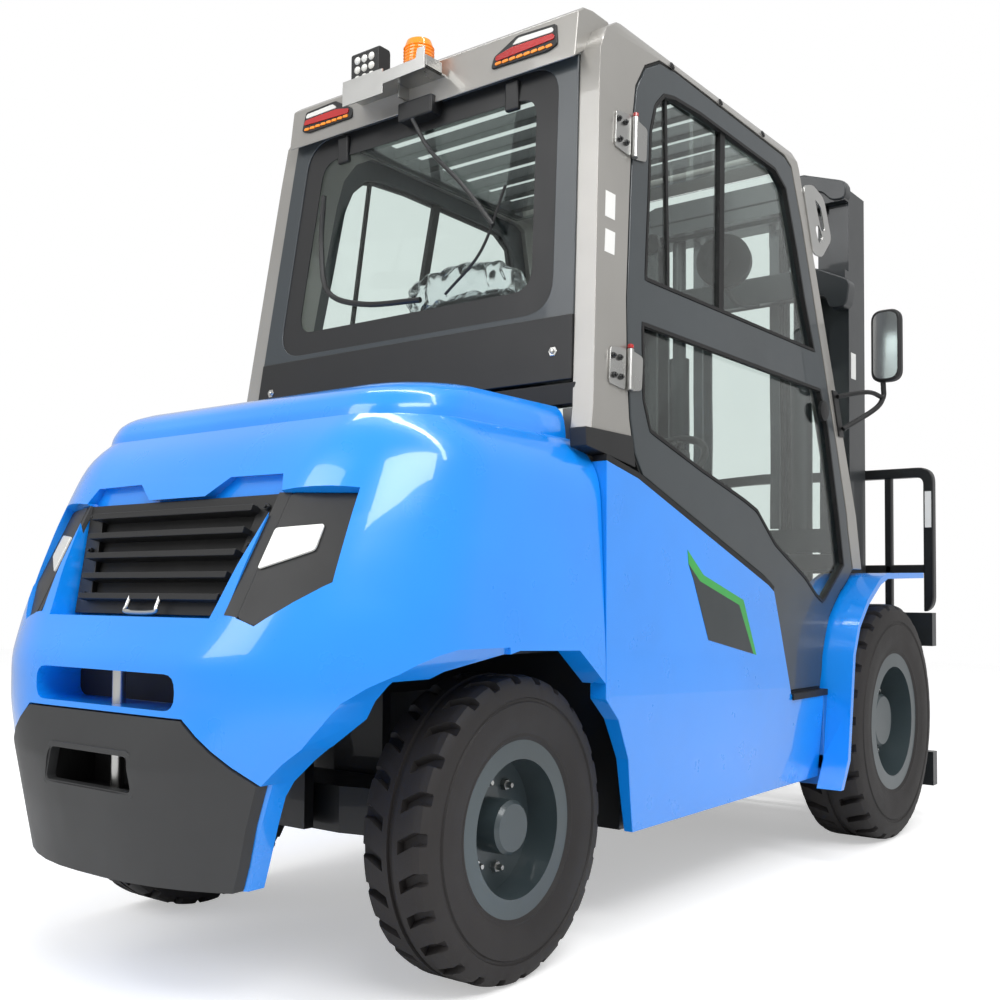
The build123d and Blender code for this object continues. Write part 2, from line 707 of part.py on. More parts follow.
# Outer mast: two channels, a crosshead and cross-members behind them
rail_front_x = rail_rear_x + rail_depth
crossmember_depth = 40
with BuildPart() as mast_outer:
    rail_inner = mast_half - rail_width
    with BuildSketch(plan_view(rail_bottom)):
        Polygon((rail_rear_x, -mast_half), (rail_front_x, -mast_half), (rail_front_x, -rail_inner),
                (rail_front_x - rail_flange, -rail_inner),
                (rail_front_x - rail_flange, -mast_half + rail_web),
                (rail_rear_x + rail_flange, -mast_half + rail_web),
                (rail_rear_x + rail_flange, -rail_inner), (rail_rear_x, -rail_inner), align=None)
    extrude(amount=rail_top - rail_bottom)
    for y in (-mast_half, -tilt_y + 25):
        add(slab(side_view(y + 18), [(rail_rear_x + 5, 700), (tilt_mast_x - 25, 770),
                                     (tilt_mast_x - 25, 830), (rail_rear_x + 5, 900)], 18))
    add(rod_between((rear_axle_x + tilt_mast_x, -mast_half, tilt_mast_z),
                    (rear_axle_x + tilt_mast_x, -tilt_y + 25, tilt_mast_z), tilt_pin_radius))
    add(slab(side_view(-front_frame_half - 20),
             [(rail_rear_x + 5, 200), (wheelbase - 90, 300), (wheelbase - 130, 412),
              (wheelbase - 90, 540), (rail_rear_x + 5, 640)], 50))
    mirror(about=Plane.XZ)
    add(turned(front_view, [(-500, 0), (-500, drive_housing_radius - 19.5),
                            (500, drive_housing_radius - 19.5), (500, 0)]), mode=Mode.SUBTRACT)
    for z0, z1 in ((160, 330), (1020, 1110), (2010, 2100)):
        add(bar((rail_rear_x - crossmember_depth, rail_rear_x), (-mast_half, mast_half), (z0, z1)))
    with BuildSketch(cross_view(rail_rear_x - crossmember_depth)) as crosshead:
        Polygon((-mast_half, 2370), (mast_half, 2370), (mast_half, 2440), (330, crosshead_top),
                (-330, crosshead_top), (-mast_half, 2440), align=None)
    extrude(amount=crossmember_depth)
save(mast_outer, "mast_outer")

# Inner mast: two beams inside the channels, the crosshead over the cylinders and the lift rods
with BuildPart() as mast_inner:
    x0 = rail_rear_x + rail_flange + inner_clearance
    x1 = rail_front_x - rail_flange - inner_clearance
    y0 = mast_half - rail_web - inner_clearance - 2
    y1 = y0 - inner_width
    mid0, mid1 = y0 - 42, y0 - 57
    with BuildSketch(plan_view(rail_bottom + 25)):
        Polygon((x0, -y0), (x0, -y1), (x0 + inner_flange, -y1), (x0 + inner_flange, -mid1),
                (x1 - inner_flange, -mid1), (x1 - inner_flange, -y1), (x1, -y1), (x1, -y0),
                (x1 - inner_flange, -y0), (x1 - inner_flange, -mid0), (x0 + inner_flange, -mid0),
                (x0 + inner_flange, -y0), align=None)
    extrude(amount=rail_top - rail_bottom - 25)
    add(rod_between((rear_axle_x + x0 + 38, -cylinder_y, barrel_bottom + 60),
                    (rear_axle_x + x0 + 38, -cylinder_y, 2372), rod_radius))
    mirror(about=Plane.XZ)
    add(bar((x0, x1), (-y1 - 1, y1 + 1), (2360, rail_top)))
    add(bar((x1 - 30, x1), (-y1 - 1, y1 + 1), (rail_bottom + 28, rail_bottom + 92)))
save(mast_inner, "mast_inner")
cylinder_x = rail_rear_x + rail_flange + inner_clearance + 38

# Lift cylinders standing on the lower cross-member
with BuildPart() as lift_cylinders:
    with BuildSketch(Plane(origin=(rear_axle_x + cylinder_x, -cylinder_y, barrel_bottom))):
        Circle(cylinder_radius)
    extrude(amount=barrel_top - barrel_bottom)
    with BuildSketch(Plane(origin=(rear_axle_x + cylinder_x, -cylinder_y, barrel_bottom + 40))):
        Circle(rod_radius + rod_clearance)
    extrude(amount=barrel_top - barrel_bottom, mode=Mode.SUBTRACT)
    add(bar((rail_rear_x, cylinder_x), (-cylinder_y - 30, -cylinder_y + 30),
            (barrel_bottom, barrel_bottom + 36)))
    mirror(about=Plane.XZ)
save(lift_cylinders, "lift_cylinders")

# Lift chains: chain wheel on the inner mast with its front and rear falls
chain_x = 2395
with BuildPart() as lift_chains:
    with BuildSketch(side_view(-chain_y + chain_width / 2)):
        with Locations((chain_x, chain_wheel_z)):
            Circle(chain_wheel_radius)
            Circle(12, mode=Mode.SUBTRACT)
    extrude(amount=chain_width)
    add(bar((chain_x + chain_wheel_radius - 14, chain_x + chain_wheel_radius),
            (-chain_y - chain_width / 2, -chain_y + chain_width / 2),
            (upper_bar_top - 40, chain_wheel_z)))
    add(bar((chain_x - chain_wheel_radius, chain_x - chain_wheel_radius + 14),
            (-chain_y - chain_width / 2, -chain_y + chain_width / 2), (1120, chain_wheel_z)))
    for y in (-chain_y - chain_width / 2 - 14, -chain_y + chain_width / 2 + 2):
        add(bar((chain_x - 20, chain_x + 20), (y, y + 12), (chain_wheel_z - 25, 2360)))
    add(rod_between((rear_axle_x + chain_x, -chain_y - chain_width / 2 - 14, chain_wheel_z),
                    (rear_axle_x + chain_x, -chain_y + chain_width / 2 + 14, chain_wheel_z), 12))
    mirror(about=Plane.XZ)
save(lift_chains, "lift_chains")

# Carriage: two fork bars, roller plates inside the mast and end plates
carriage_front_x = wheelbase + load_distance
carriage_rear_x = carriage_front_x - carriage_bar_depth
with BuildPart() as carriage:
    add(bar((carriage_rear_x, carriage_front_x), (-carriage_half, carriage_half),
            (upper_bar_top - carriage_bar_height, upper_bar_top)))
    add(bar((carriage_rear_x, carriage_front_x), (-carriage_half, carriage_half),
            (lower_bar_bottom, lower_bar_bottom + carriage_bar_height)))
    plate_y = mast_half - rail_web - inner_clearance - 2 - inner_width - 14
    roller_x = rail_rear_x + rail_depth / 2
    add(bar((roller_x - 22, carriage_rear_x + 1), (-plate_y, -plate_y + 22),
            (lower_bar_bottom + 70, upper_bar_top - 40)))
    for z in (lower_bar_bottom + 115, upper_bar_top - 80):
        add(rod_between((rear_axle_x + roller_x, -plate_y + 5, z),
                        (rear_axle_x + roller_x, -plate_y - 44, z), roller_radius))
    add(bar((chain_x + chain_wheel_radius + 8, carriage_rear_x + 1), (-chain_y - 25, -chain_y + 25),
            (upper_bar_top - 70, upper_bar_top - 35)))
    mirror(about=Plane.XZ)
save(carriage, "carriage")

# Load backrest on the carriage
with BuildPart() as backrest:
    tube_rear = carriage_rear_x + 4
    with BuildSketch(cross_view(tube_rear)) as rest:
        Polygon((-backrest_half, 105), (backrest_half, 105), (backrest_half, backrest_top),
                (-backrest_half, backrest_top), align=None)
        fillet(rest.vertices().group_by(Axis.Z)[-1], 70)
        offset(amount=-backrest_tube, mode=Mode.SUBTRACT)
    extrude(amount=backrest_tube)
    for y in (-590, -430, -190, 190 - backrest_tube, 430 - backrest_tube, 590 - backrest_tube):
        add(bar((tube_rear, tube_rear + backrest_tube), (y, y + backrest_tube),
                (upper_bar_top - 1, backrest_top - 10)))
    add(bar((tube_rear, tube_rear + backrest_tube), (-backrest_half + 5, backrest_half - 5),
            (940, 978)))
    add(bar((0, 3000), (-backrest_half - 1, backrest_half + 1), (0, upper_bar_top)),
        mode=Mode.SUBTRACT)
save(backrest, "backrest")

# Forks: upright shank hooked over the bars and a tapered blade
fork_face_x = carriage_front_x
fork_top = upper_bar_top + 30
with BuildPart() as forks:
    blade_z = fork_ground_gap
    with BuildSketch(side_view(-fork_centre_y + fork_width / 2)):
        Polygon((fork_face_x, blade_z), (fork_face_x + fork_thickness + fork_length, blade_z),
                (fork_face_x + fork_thickness + fork_length, blade_z + 12),
                (fork_face_x + fork_thickness + 500, blade_z + fork_thickness),
                (fork_face_x + fork_thickness, blade_z + fork_thickness),
                (fork_face_x + fork_thickness, fork_top), (fork_face_x - carriage_bar_depth - 25, fork_top),
                (fork_face_x - carriage_bar_depth - 25, upper_bar_top - 25),
                (fork_face_x - carriage_bar_depth - 2, upper_bar_top - 25),
                (fork_face_x - carriage_bar_depth - 2, upper_bar_top + 1),
                (fork_face_x, upper_bar_top + 1), align=None)
    extrude(amount=fork_width)
    mirror(about=Plane.XZ)
save(forks, "forks")

# Tilt cylinders: barrels on the frame pins, rods to the mast pins
tilt_run = Vector(tilt_mast_x - tilt_frame_x, 0, tilt_mast_z - tilt_frame_z)
tilt_direction = tilt_run.normalized()
tilt_start = Vector(rear_axle_x + tilt_frame_x, -tilt_y, tilt_frame_z)
tilt_end = Vector(rear_axle_x + tilt_mast_x, -tilt_y, tilt_mast_z)


def eye(centre, bore, outer, width):
    """Ring across the truck for a pin."""
    with BuildPart() as ring:
        with BuildSketch(Plane(origin=(centre.X, centre.Y + width / 2, centre.Z),
                               z_dir=(0, -1, 0))):
            Circle(outer)
            Circle(bore, mode=Mode.SUBTRACT)
        extrude(amount=width)
    return ring.part


with BuildPart() as tilt_barrels:
    barrel_start = tilt_start + tilt_direction * 24
    barrel_end = tilt_start + tilt_direction * tilt_barrel_length
    add(rod_between(barrel_start, barrel_end, tilt_barrel_radius))
    add(rod_between(barrel_start + tilt_direction * 40, barrel_end + tilt_direction * 5,
                    tilt_rod_radius + rod_clearance), mode=Mode.SUBTRACT)
    add(eye(tilt_start, tilt_pin_radius + running_fit, 30, 60))
    add(rod_between((tilt_start.X, tilt_start.Y - 40, tilt_start.Z),
                    (tilt_start.X, tilt_start.Y + 40, tilt_start.Z),
                    tilt_pin_radius + running_fit), mode=Mode.SUBTRACT)
    mirror(about=Plane.XZ)
save(tilt_barrels, "tilt_barrels")
with BuildPart() as tilt_rods:
    add(rod_between(tilt_start + tilt_direction * 140, tilt_end - tilt_direction * 22,
                    tilt_rod_radius))
    add(eye(tilt_end, tilt_pin_radius + tilt_eye_clearance, 32, 30))
    mirror(about=Plane.XZ)
save(tilt_rods, "tilt_rods")
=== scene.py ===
import logging
import math
from contextlib import contextmanager
from dataclasses import dataclass, field
from enum import Enum
from typing import Callable, Iterator, Sequence

import bmesh
import bpy
import numpy as np
from mathutils import Matrix, Vector


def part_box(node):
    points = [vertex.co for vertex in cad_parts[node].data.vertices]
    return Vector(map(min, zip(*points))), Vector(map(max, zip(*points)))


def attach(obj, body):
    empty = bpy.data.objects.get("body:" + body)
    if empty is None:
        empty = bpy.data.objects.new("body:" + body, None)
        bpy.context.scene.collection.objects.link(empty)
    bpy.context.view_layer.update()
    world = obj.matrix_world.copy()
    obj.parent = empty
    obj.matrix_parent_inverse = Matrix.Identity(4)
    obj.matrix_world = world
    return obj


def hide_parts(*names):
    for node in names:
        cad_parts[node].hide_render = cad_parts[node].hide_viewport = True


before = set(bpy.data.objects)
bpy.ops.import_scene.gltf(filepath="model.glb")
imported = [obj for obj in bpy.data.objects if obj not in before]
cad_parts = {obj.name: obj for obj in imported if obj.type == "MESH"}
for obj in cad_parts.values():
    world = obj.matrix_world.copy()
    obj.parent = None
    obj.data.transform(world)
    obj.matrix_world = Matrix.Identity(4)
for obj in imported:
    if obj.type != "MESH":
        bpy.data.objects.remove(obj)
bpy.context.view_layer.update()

LOG = logging.getLogger("forklift")

# Lengths are millimetres and x is the station from the rear axle until a mesh is written
REAR_AXLE = -1517.5
WHEELBASE = 2100.0
BODY_HALF = 655.0
BELT_Z = 1130.0
BELT_HALF = 640.0
ROOF_HALF = 560.0
ROOF_Z = 2350.0

Outline = Sequence[tuple[float, float]]
Triple = tuple[float, float, float]


class View(Enum):
    """The drawing board that an outline is drawn on."""

    SIDE = "x forward and z up, carried across the truck"
    CROSS = "y left and z up, carried along the truck"
    PLAN = "x forward and y left, carried up"


SIDE, CROSS, PLAN = View


class Kind(Enum):
    """The families of surface."""

    PLAIN = "paint, plastic, metal or rubber"
    GLASS = "lets light through"
    CLOTH = "has a sheen"


def fill(node: bpy.types.Node, values: dict) -> None:
    """Set the named inputs of a node."""
    for name, value in values.items():
        node.inputs[name].default_value = value


@dataclass(frozen=True)
class Finish:
    """One finish: its colour, gloss, the grain that breaks them up, and its usual slot.

    The colour and the roughness wander with two sizes of noise read from Object coordinates, and
    a fine noise drives the bump.
    """

    name: str
    colour: Triple
    roughness: float
    metallic: float
    coat: float
    grain: float
    bump: float
    wander: float
    glow: float = 0.0
    kind: Kind = Kind.PLAIN
    slot: str = "black_plastic"

    def linear(self, lift: float = 1.0) -> tuple[float, float, float, float]:
        """Return the colour as linear light, lifted or dimmed by a factor."""
        shades = np.clip(np.array(self.colour) * lift, 0, 1)
        shades = np.where(shades <= 0.04045, shades / 12.92, ((shades + 0.055) / 1.055) ** 2.4)
        return (*map(float, shades), 1.0)

    def material(self) -> bpy.types.Material:
        """Return the finish's node material, made on first use."""
        found = bpy.data.materials.get(self.name)
        if found is not None:
            return found
        made = bpy.data.materials.new(self.name)
        made.use_nodes = True
        tree = made.node_tree
        shader = tree.nodes["Principled BSDF"]
        fill(shader, {"Metallic": self.metallic, "Coat Weight": self.coat, "Coat Roughness": 0.04})
        if self.kind is Kind.GLASS:
            fill(shader, {"Transmission Weight": 1.0, "IOR": 1.25})
        if self.kind is Kind.CLOTH:
            fill(shader, {"Sheen Weight": 0.25})
        if self.glow:
            fill(shader, {"Emission Color": self.linear(), "Emission Strength": self.glow})
        place = tree.nodes.new("ShaderNodeTexCoord").outputs["Object"]
        shade = tree.nodes.new("ShaderNodeValToRGB")
        dim, lit = shade.color_ramp.elements
        dim.position, dim.color = 0.3, self.linear(1 - self.wander)
        lit.position, lit.color = 0.7, self.linear(1 + 0.5 * self.wander)
        tree.links.new(self._noise(tree, place, 2.3), shade.inputs["Fac"])
        tree.links.new(shade.outputs["Color"], shader.inputs["Base Color"])
        spread = tree.nodes.new("ShaderNodeMapRange")
        fill(spread, {"To Min": 0.85 * self.roughness, "To Max": min(1.0, 1.2 * self.roughness)})
        tree.links.new(self._noise(tree, place, 9.0), spread.inputs["Value"])
        tree.links.new(spread.outputs["Result"], shader.inputs["Roughness"])
        if self.bump:
            ripple = tree.nodes.new("ShaderNodeBump")
            fill(ripple, {"Strength": self.bump, "Distance": 0.002})
            tree.links.new(self._noise(tree, place, self.grain), ripple.inputs["Height"])
            tree.links.new(ripple.outputs["Normal"], shader.inputs["Normal"])
        return made

    @staticmethod
    def _noise(tree: bpy.types.NodeTree, place: bpy.types.NodeSocket, scale: float) -> bpy.types.NodeSocket:
        """Return the value of a noise of a scale, read from a place."""
        noise = tree.nodes.new("ShaderNodeTexNoise")
        fill(noise, {"Scale": scale, "Detail": 4.0})
        tree.links.new(place, noise.inputs["Vector"])
        return noise.outputs["Fac"]


BLUE = Finish("azure_gloss", (0.03, 0.555, 0.97), 0.28, 0.0, 0.9, 60, 0.02, 0.04, slot="blue_paint")
# Darker copy of the blue paint: painted shade for the fenders' inner plates inside the wheel arch.
SHADED_BLUE = Finish("azure_shade", (0.08, 0.42, 0.74), 0.35, 0.0, 0.5, 60, 0.02, 0.05, slot="blue_paint")
TAUPE = Finish("taupe_gloss", (0.60, 0.59, 0.57), 0.32, 0.35, 0.6, 300, 0.03, 0.05, slot="taupe_paint")
SLATE = Finish("slate_satin", (0.19, 0.217, 0.232), 0.38, 0.0, 0.3, 200, 0.04, 0.06, slot="slate_paint")
RIM = Finish("rim_slate", (0.235, 0.28, 0.295), 0.36, 0.1, 0.35, 120, 0.06, 0.12, slot="rim_paint")
PANEL = Finish("panel_charcoal", (0.185, 0.188, 0.192), 0.5, 0.0, 0.0, 420, 0.12, 0.05)
BLACK = Finish("trim_black", (0.085, 0.087, 0.09), 0.45, 0.0, 0.0, 420, 0.12, 0.08)
STEEL = Finish("frame_black", (0.10, 0.105, 0.11), 0.42, 0.15, 0.2, 150, 0.08, 0.12, slot="plated_steel")
MAST = Finish("mast_charcoal", (0.15, 0.165, 0.175), 0.38, 0.15, 0.3, 150, 0.06, 0.1, slot="mast_paint")
GREY = Finish("steel_grey", (0.35, 0.36, 0.37), 0.45, 0.2, 0.1, 150, 0.06, 0.1, slot="chain_steel")
BRIGHT = Finish("plated_bright", (0.78, 0.78, 0.77), 0.28, 1.0, 0.0, 260, 0.05, 0.1, slot="plated_steel")
CHROME = Finish("rod_bright", (0.85, 0.86, 0.87), 0.1, 1.0, 0.0, 500, 0.01, 0.03, slot="rod_chrome")
RUBBER = Finish("tyre_rubber", (0.125, 0.112, 0.11), 0.62, 0.0, 0.0, 340, 0.25, 0.16, slot="tyre")
# Dark seal rubber for seals, trims and plugs; also used as painted shade for the sheets inside the
# counterweight's openings.
SEAL_AND_SHADE = Finish("seal_rubber_and_shade", (0.05, 0.05, 0.052), 0.6, 0.0, 0.0, 400, 0.1, 0.1)
GLASS = Finish(
    "window_glass", (0.91, 0.94, 0.93), 0.01, 0.0, 0.0, 2, 0.0, 0.01, kind=Kind.GLASS, slot="glass")
FILM = Finish(
    "clear_film", (0.96, 0.97, 0.98), 0.16, 0.0, 0.0, 18, 0.6, 0.02, kind=Kind.GLASS, slot="glass")
SEAT = Finish(
    "seat_cloth", (0.16, 0.17, 0.185), 0.8, 0.0, 0.0, 700, 0.4, 0.12, kind=Kind.CLOTH, slot="seat_cover")
RED = Finish("lens_red", (0.72, 0.05, 0.05), 0.15, 0.0, 0.8, 150, 0.1, 0.1, slot="lamp_plastic")
AMBER = Finish("lens_amber", (0.98, 0.55, 0.08), 0.15, 0.0, 0.8, 150, 0.15, 0.12, 0.25, slot="lamp_plastic")
CLEAR = Finish("lens_clear", (0.90, 0.90, 0.88), 0.14, 0.0, 0.8, 150, 0.15, 0.06, slot="lamp_plastic")
WHITE = Finish("label_white", (0.90, 0.90, 0.89), 0.5, 0.0, 0.0, 300, 0.03, 0.04)
GREEN = Finish("decal_green", (0.16, 0.62, 0.24), 0.4, 0.0, 0.3, 300, 0.02, 0.1)
DARK = Finish("decal_dark", (0.08, 0.12, 0.13), 0.4, 0.0, 0.3, 300, 0.02, 0.1)


def wall_half(z: np.ndarray) -> np.ndarray:
    """Half width of the cab's outer face: upright to the belt, then leaning in with height."""
    lean = (BELT_HALF - ROOF_HALF) / (ROOF_Z - BELT_Z)
    return BELT_HALF - lean * np.maximum(0, np.asarray(z, float) - BELT_Z)


def rect(left: float, right: float, low: float, high: float) -> list:
    """Corners of an upright rectangle."""
    return [(left, low), (right, low), (right, high), (left, high)]


def even(*half: tuple[float, float]) -> tuple:
    """Outline that is alike on both sides, from its points on the left."""
    return (*half, *((-y, z) for y, z in half[::-1]))


def rounded(outline: Outline, radius: float, steps: int = 5) -> np.ndarray:
    """Round every corner of a closed outline.

    Each corner becomes a quadratic curve whose ends lie a radius back along its two edges:
    (1-s)^2 a + 2 s (1-s) corner + s^2 b.

    Args:
        outline: the corners in order.
        radius: how far back the curve starts, limited to 0.45 of the shorter edge.
        steps: points a corner gets.

    Returns:
        The rounded outline, one row a point.
    """
    corner = np.asarray(outline, float)
    back, ahead = np.roll(corner, 1, 0) - corner, np.roll(corner, -1, 0) - corner
    back_long, ahead_long = np.linalg.norm(back, axis=1), np.linalg.norm(ahead, axis=1)
    reach = np.minimum(radius, 0.45 * np.minimum(back_long, ahead_long))
    a = corner + back * (reach / back_long)[:, None]
    b = corner + ahead * (reach / ahead_long)[:, None]
    s = np.linspace(0, 1, steps)[None, :, None]
    curve = (1 - s) ** 2 * a[:, None] + 2 * s * (1 - s) * corner[:, None] + s ** 2 * b[:, None]
    return curve.reshape(-1, 2)


def quads(rows: int, columns: int, close_rows: bool = False) -> np.ndarray:
    """Corner numbers of the four-sided faces of a grid whose rows are closed rings."""
    i = np.arange(rows if close_rows else rows - 1)[:, None]
    j = np.arange(columns)[None, :]
    k, m = (i + 1) % rows, (j + 1) % columns
    corners = (i * columns + j, i * columns + m, k * columns + m, k * columns + j)
    return np.stack(np.broadcast_arrays(*corners), -1).reshape(-1, 4)


@contextmanager
def edited(mesh: bpy.types.Mesh) -> Iterator[bmesh.types.BMesh]:
    """Open a mesh for editing, and write it back afterwards."""
    body = bmesh.new()
    body.from_mesh(mesh)
    yield body
    body.to_mesh(mesh)
    body.free()


class Solid:
    """A closed mesh that is cut and joined before it is dressed."""

    def __init__(self, mesh: bpy.types.Mesh) -> None:
        """Hang a mesh in the scene."""
        self.piece = bpy.data.objects.new("shape", mesh)
        bpy.context.scene.collection.objects.link(self.piece)

    @classmethod
    def of(cls, points: np.ndarray, faces: list) -> "Solid":
        """Make a solid from points in millimetres and lists of corner numbers."""
        metres = (np.asarray(points, float).reshape(-1, 3) + (REAR_AXLE, 0, 0)) / 1000
        mesh = bpy.data.meshes.new("shape")
        mesh.from_pydata(metres.tolist(), [], [list(map(int, face)) for face in faces])
        return cls(mesh).outward()

    def copy(self) -> "Solid":
        """Return a second solid of the same shape."""
        return Solid(self.piece.data.copy())

    def outward(self) -> "Solid":
        """Turn every face outwards."""
        with edited(self.piece.data) as body:
            bmesh.ops.recalc_face_normals(body, faces=body.faces[:])
        return self

    def moved(self, change: Callable[[np.ndarray], None]) -> "Solid":
        """Let a function change the array of the points, in millimetres, one row a point."""
        mesh = self.piece.data
        place = np.empty(3 * len(mesh.vertices))
        mesh.vertices.foreach_get("co", place)
        place = place.reshape(-1, 3) * 1000 - (REAR_AXLE, 0, 0)
        change(place)
        mesh.vertices.foreach_set("co", ((place + (REAR_AXLE, 0, 0)) / 1000).ravel())
        return self.outward()

    def _combine(self, other: "Solid", how: str) -> "Solid":
        """Cut, keep or fuse with another solid, which is used up."""
        step = self.piece.modifiers.new("step", "BOOLEAN")
        step.operation, step.solver, step.object = how, "EXACT", other.piece
        graph = bpy.context.evaluated_depsgraph_get()
        mesh = bpy.data.meshes.new_from_object(self.piece.evaluated_get(graph))
        self.piece.modifiers.clear()
        old, self.piece.data = self.piece.data, mesh
        bpy.data.meshes.remove(old)
        other.drop()
        return self

    def cut(self, *others: "Solid") -> "Solid":
        """Take other solids away."""
        for other in others:
            self._combine(other, "DIFFERENCE")
        return self

    def keep(self, other: "Solid") -> "Solid":
        """Keep what lies in another solid too."""
        return self._combine(other, "INTERSECT")

    def drop(self) -> None:
        """Remove the solid from the file."""
        mesh = self.piece.data
        bpy.data.objects.remove(self.piece)
        bpy.data.meshes.remove(mesh)

    def join(self, *others: "Solid") -> "Solid":
        """Put other solids into the same mesh, apart or overlapping, and use them up."""
        with edited(self.piece.data) as body:
            for other in others:
                body.from_mesh(other.piece.data)
                other.drop()
        return self

    def mirror(self) -> "Solid":
        """Turn the solid to the other side of the truck."""
        with edited(self.piece.data) as body:
            bmesh.ops.scale(body, vec=(1, -1, 1), verts=body.verts[:])
            bmesh.ops.reverse_faces(body, faces=body.faces[:])
        return self

    def twin(self) -> "Solid":
        """Add the left-hand twin."""
        return self.join(self.copy().mirror())

    def dress(
            self, name: str, finish: Finish, *stands_for: str, body: str = "truck", slot: str = "",
            bevel: float = 0.0, smooth: float = 35.0) -> bpy.types.Object:
        """Finish the piece and hang it on its body.

        Args:
            name: the piece's plain name.
            finish: its material.
            stands_for: nodes that it replaces.
            body: the body that it rides on.
            slot: the record's material slot, where it isn't the finish's usual one; not used.
            bevel: width of its rounded edges in millimetres, or 0 for none.
            smooth: angle in degrees under which neighbouring faces shade as one.

        Returns:
            The finished object.
        """
        piece = self.piece
        piece.name = piece.data.name = name
        piece.data.materials.clear()
        piece.data.materials.append(finish.material())
        piece.data.shade_smooth()
        piece.data.set_sharp_from_angle(angle=math.radians(smooth))
        if bevel:
            edge = piece.modifiers.new("edges", "BEVEL")
            edge.width, edge.segments = bevel / 1000, 2
            edge.limit_method, edge.angle_limit = "ANGLE", math.radians(42)
            edge.harden_normals = True
        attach(piece, body)
        if stands_for:
            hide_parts(*stands_for)
        LOG.info("%s: %d faces", name, len(piece.data.polygons))
        return piece


def sided(solid: Solid, hand: str) -> Solid:
    """Leave a right-hand solid, or turn it to the left."""
    return solid.mirror() if hand == "left" else solid


def fused(*solids: Solid) -> Solid:
    """Put every solid into the first one's mesh."""
    return solids[0].join(*solids[1:])


def loft(points: np.ndarray, rows: int) -> Solid:
    """Skin rows of points, each a closed ring, and close both ends with flat caps."""
    count = np.size(points) // 3 // rows
    caps = [list(range(count))[::-1], list(range((rows - 1) * count, rows * count))]
    return Solid.of(points, caps + quads(rows, count).tolist())


def slab(view: View, outline: Outline, start: float, end: float) -> Solid:
    """Carry a closed outline straight from one depth to the other on its drawing board."""
    flat = np.asarray(outline, float)
    depth = np.repeat([start, end], len(flat))
    u, v = np.tile(flat[:, 0], 2), np.tile(flat[:, 1], 2)
    columns = {SIDE: (u, depth, v), CROSS: (depth, u, v), PLAN: (u, v, depth)}[view]
    return loft(np.stack(columns, -1), 2)


def brick(x: tuple[float, float], y: tuple[float, float], z: tuple[float, float]) -> Solid:
    """Square-edged bar between ranges of x, y and z."""
    return slab(PLAN, rect(*x, *y), *z)


def wall(outline: Outline, outer: float, inner: float) -> Solid:
    """Right cab wall between two depths inside its outer face.

    The outline is carried across, split at the belt, and each point's y is then set to
    minus (half width at its height less the depth).
    """
    solid = slab(SIDE, outline, -1000, 1000)
    with edited(solid.piece.data) as body:
        bmesh.ops.bisect_plane(
            body, geom=body.verts[:] + body.edges[:] + body.faces[:], plane_co=(0, 0, BELT_Z / 1000),
            plane_no=(0, 0, 1))

    def lean(place: np.ndarray) -> None:
        """Set each point's y from its height."""
        place[:, 1] = np.where(place[:, 1] < 0, outer, inner) - wall_half(place[:, 2])

    return solid.moved(lean)


def on_plane(
        origin: Triple, across: Triple, out: Triple, outline: Outline, start: float, end: float) -> Solid:
    """Slab on a tilted plane: point = origin + u across + v (out x across) + depth out."""
    flat = np.asarray(outline, float)
    a, n = (np.array(v) / np.linalg.norm(v) for v in (across, out))
    foot = np.array(origin) + flat[:, :1] * a + flat[:, 1:] * np.cross(n, a)
    return loft(np.concatenate([foot + start * n, foot + end * n]), 2)


def basis(axis: Triple) -> tuple[np.ndarray, np.ndarray, np.ndarray]:
    """Unit vectors along an axis and twice across it."""
    n = np.array(axis, float) / np.linalg.norm(axis)
    a = np.cross(n, (0.0, 0.0, 1.0) if abs(n[2]) < 0.9 else (1.0, 0.0, 0.0))
    a /= np.linalg.norm(a)
    return n, a, np.cross(n, a)


def ring(a: np.ndarray, b: np.ndarray, steps: int) -> np.ndarray:
    """Points cos(angle) a + sin(angle) b once round."""
    angle = np.linspace(0, 2 * np.pi, steps, endpoint=False)[:, None]
    return np.cos(angle) * a + np.sin(angle) * b


def turned(origin: Triple, axis: Triple, profile: Outline, steps: int = 48) -> Solid:
    """Turn a line of (distance along, radius) points about an axis; the ends close on flat caps."""
    n, a, b = basis(axis)
    line = np.asarray(profile, float)
    points = np.array(origin) + line[:, None, :1] * n + line[:, None, 1:] * ring(a, b, steps)[None]
    return loft(points, len(line))


def tube(path: Sequence[Triple], radius: float, steps: int = 10, ends: int = 6) -> Solid:
    """Round bar along a bent path whose corners are eased by a spline through the points.

    The path is p(t) by Catmull-Rom blending, and each ring is p + r (cos a N + sin a B).
    """
    line = np.asarray(path, float)
    if len(line) > 2:
        knots = np.vstack([2 * line[0] - line[1], line, 2 * line[-1] - line[-2]])
        t = np.linspace(0, 1, ends, endpoint=False)[None, :, None]
        p0, p1, p2, p3 = (knots[i:len(knots) - 3 + i][:, None] for i in range(4))
        eased = 0.5 * (2 * p1 + (p2 - p0) * t + (2 * p0 - 5 * p1 + 4 * p2 - p3) * t ** 2
                       + (3 * p1 - p0 - 3 * p2 + p3) * t ** 3)
        line = np.vstack([eased.reshape(-1, 3), line[-1:]])
    tangent = np.gradient(line, axis=0)
    tangent /= np.linalg.norm(tangent, axis=1)[:, None]
    n = np.cross(tangent, (0.13, 0.21, 0.97) if abs(tangent[0][2]) < 0.8 else (0.9, 0.3, 0.1))
    n /= np.linalg.norm(n, axis=1)[:, None]
    return loft(line[:, None] + radius * ring(n[:, None], np.cross(tangent, n)[:, None], steps), len(line))


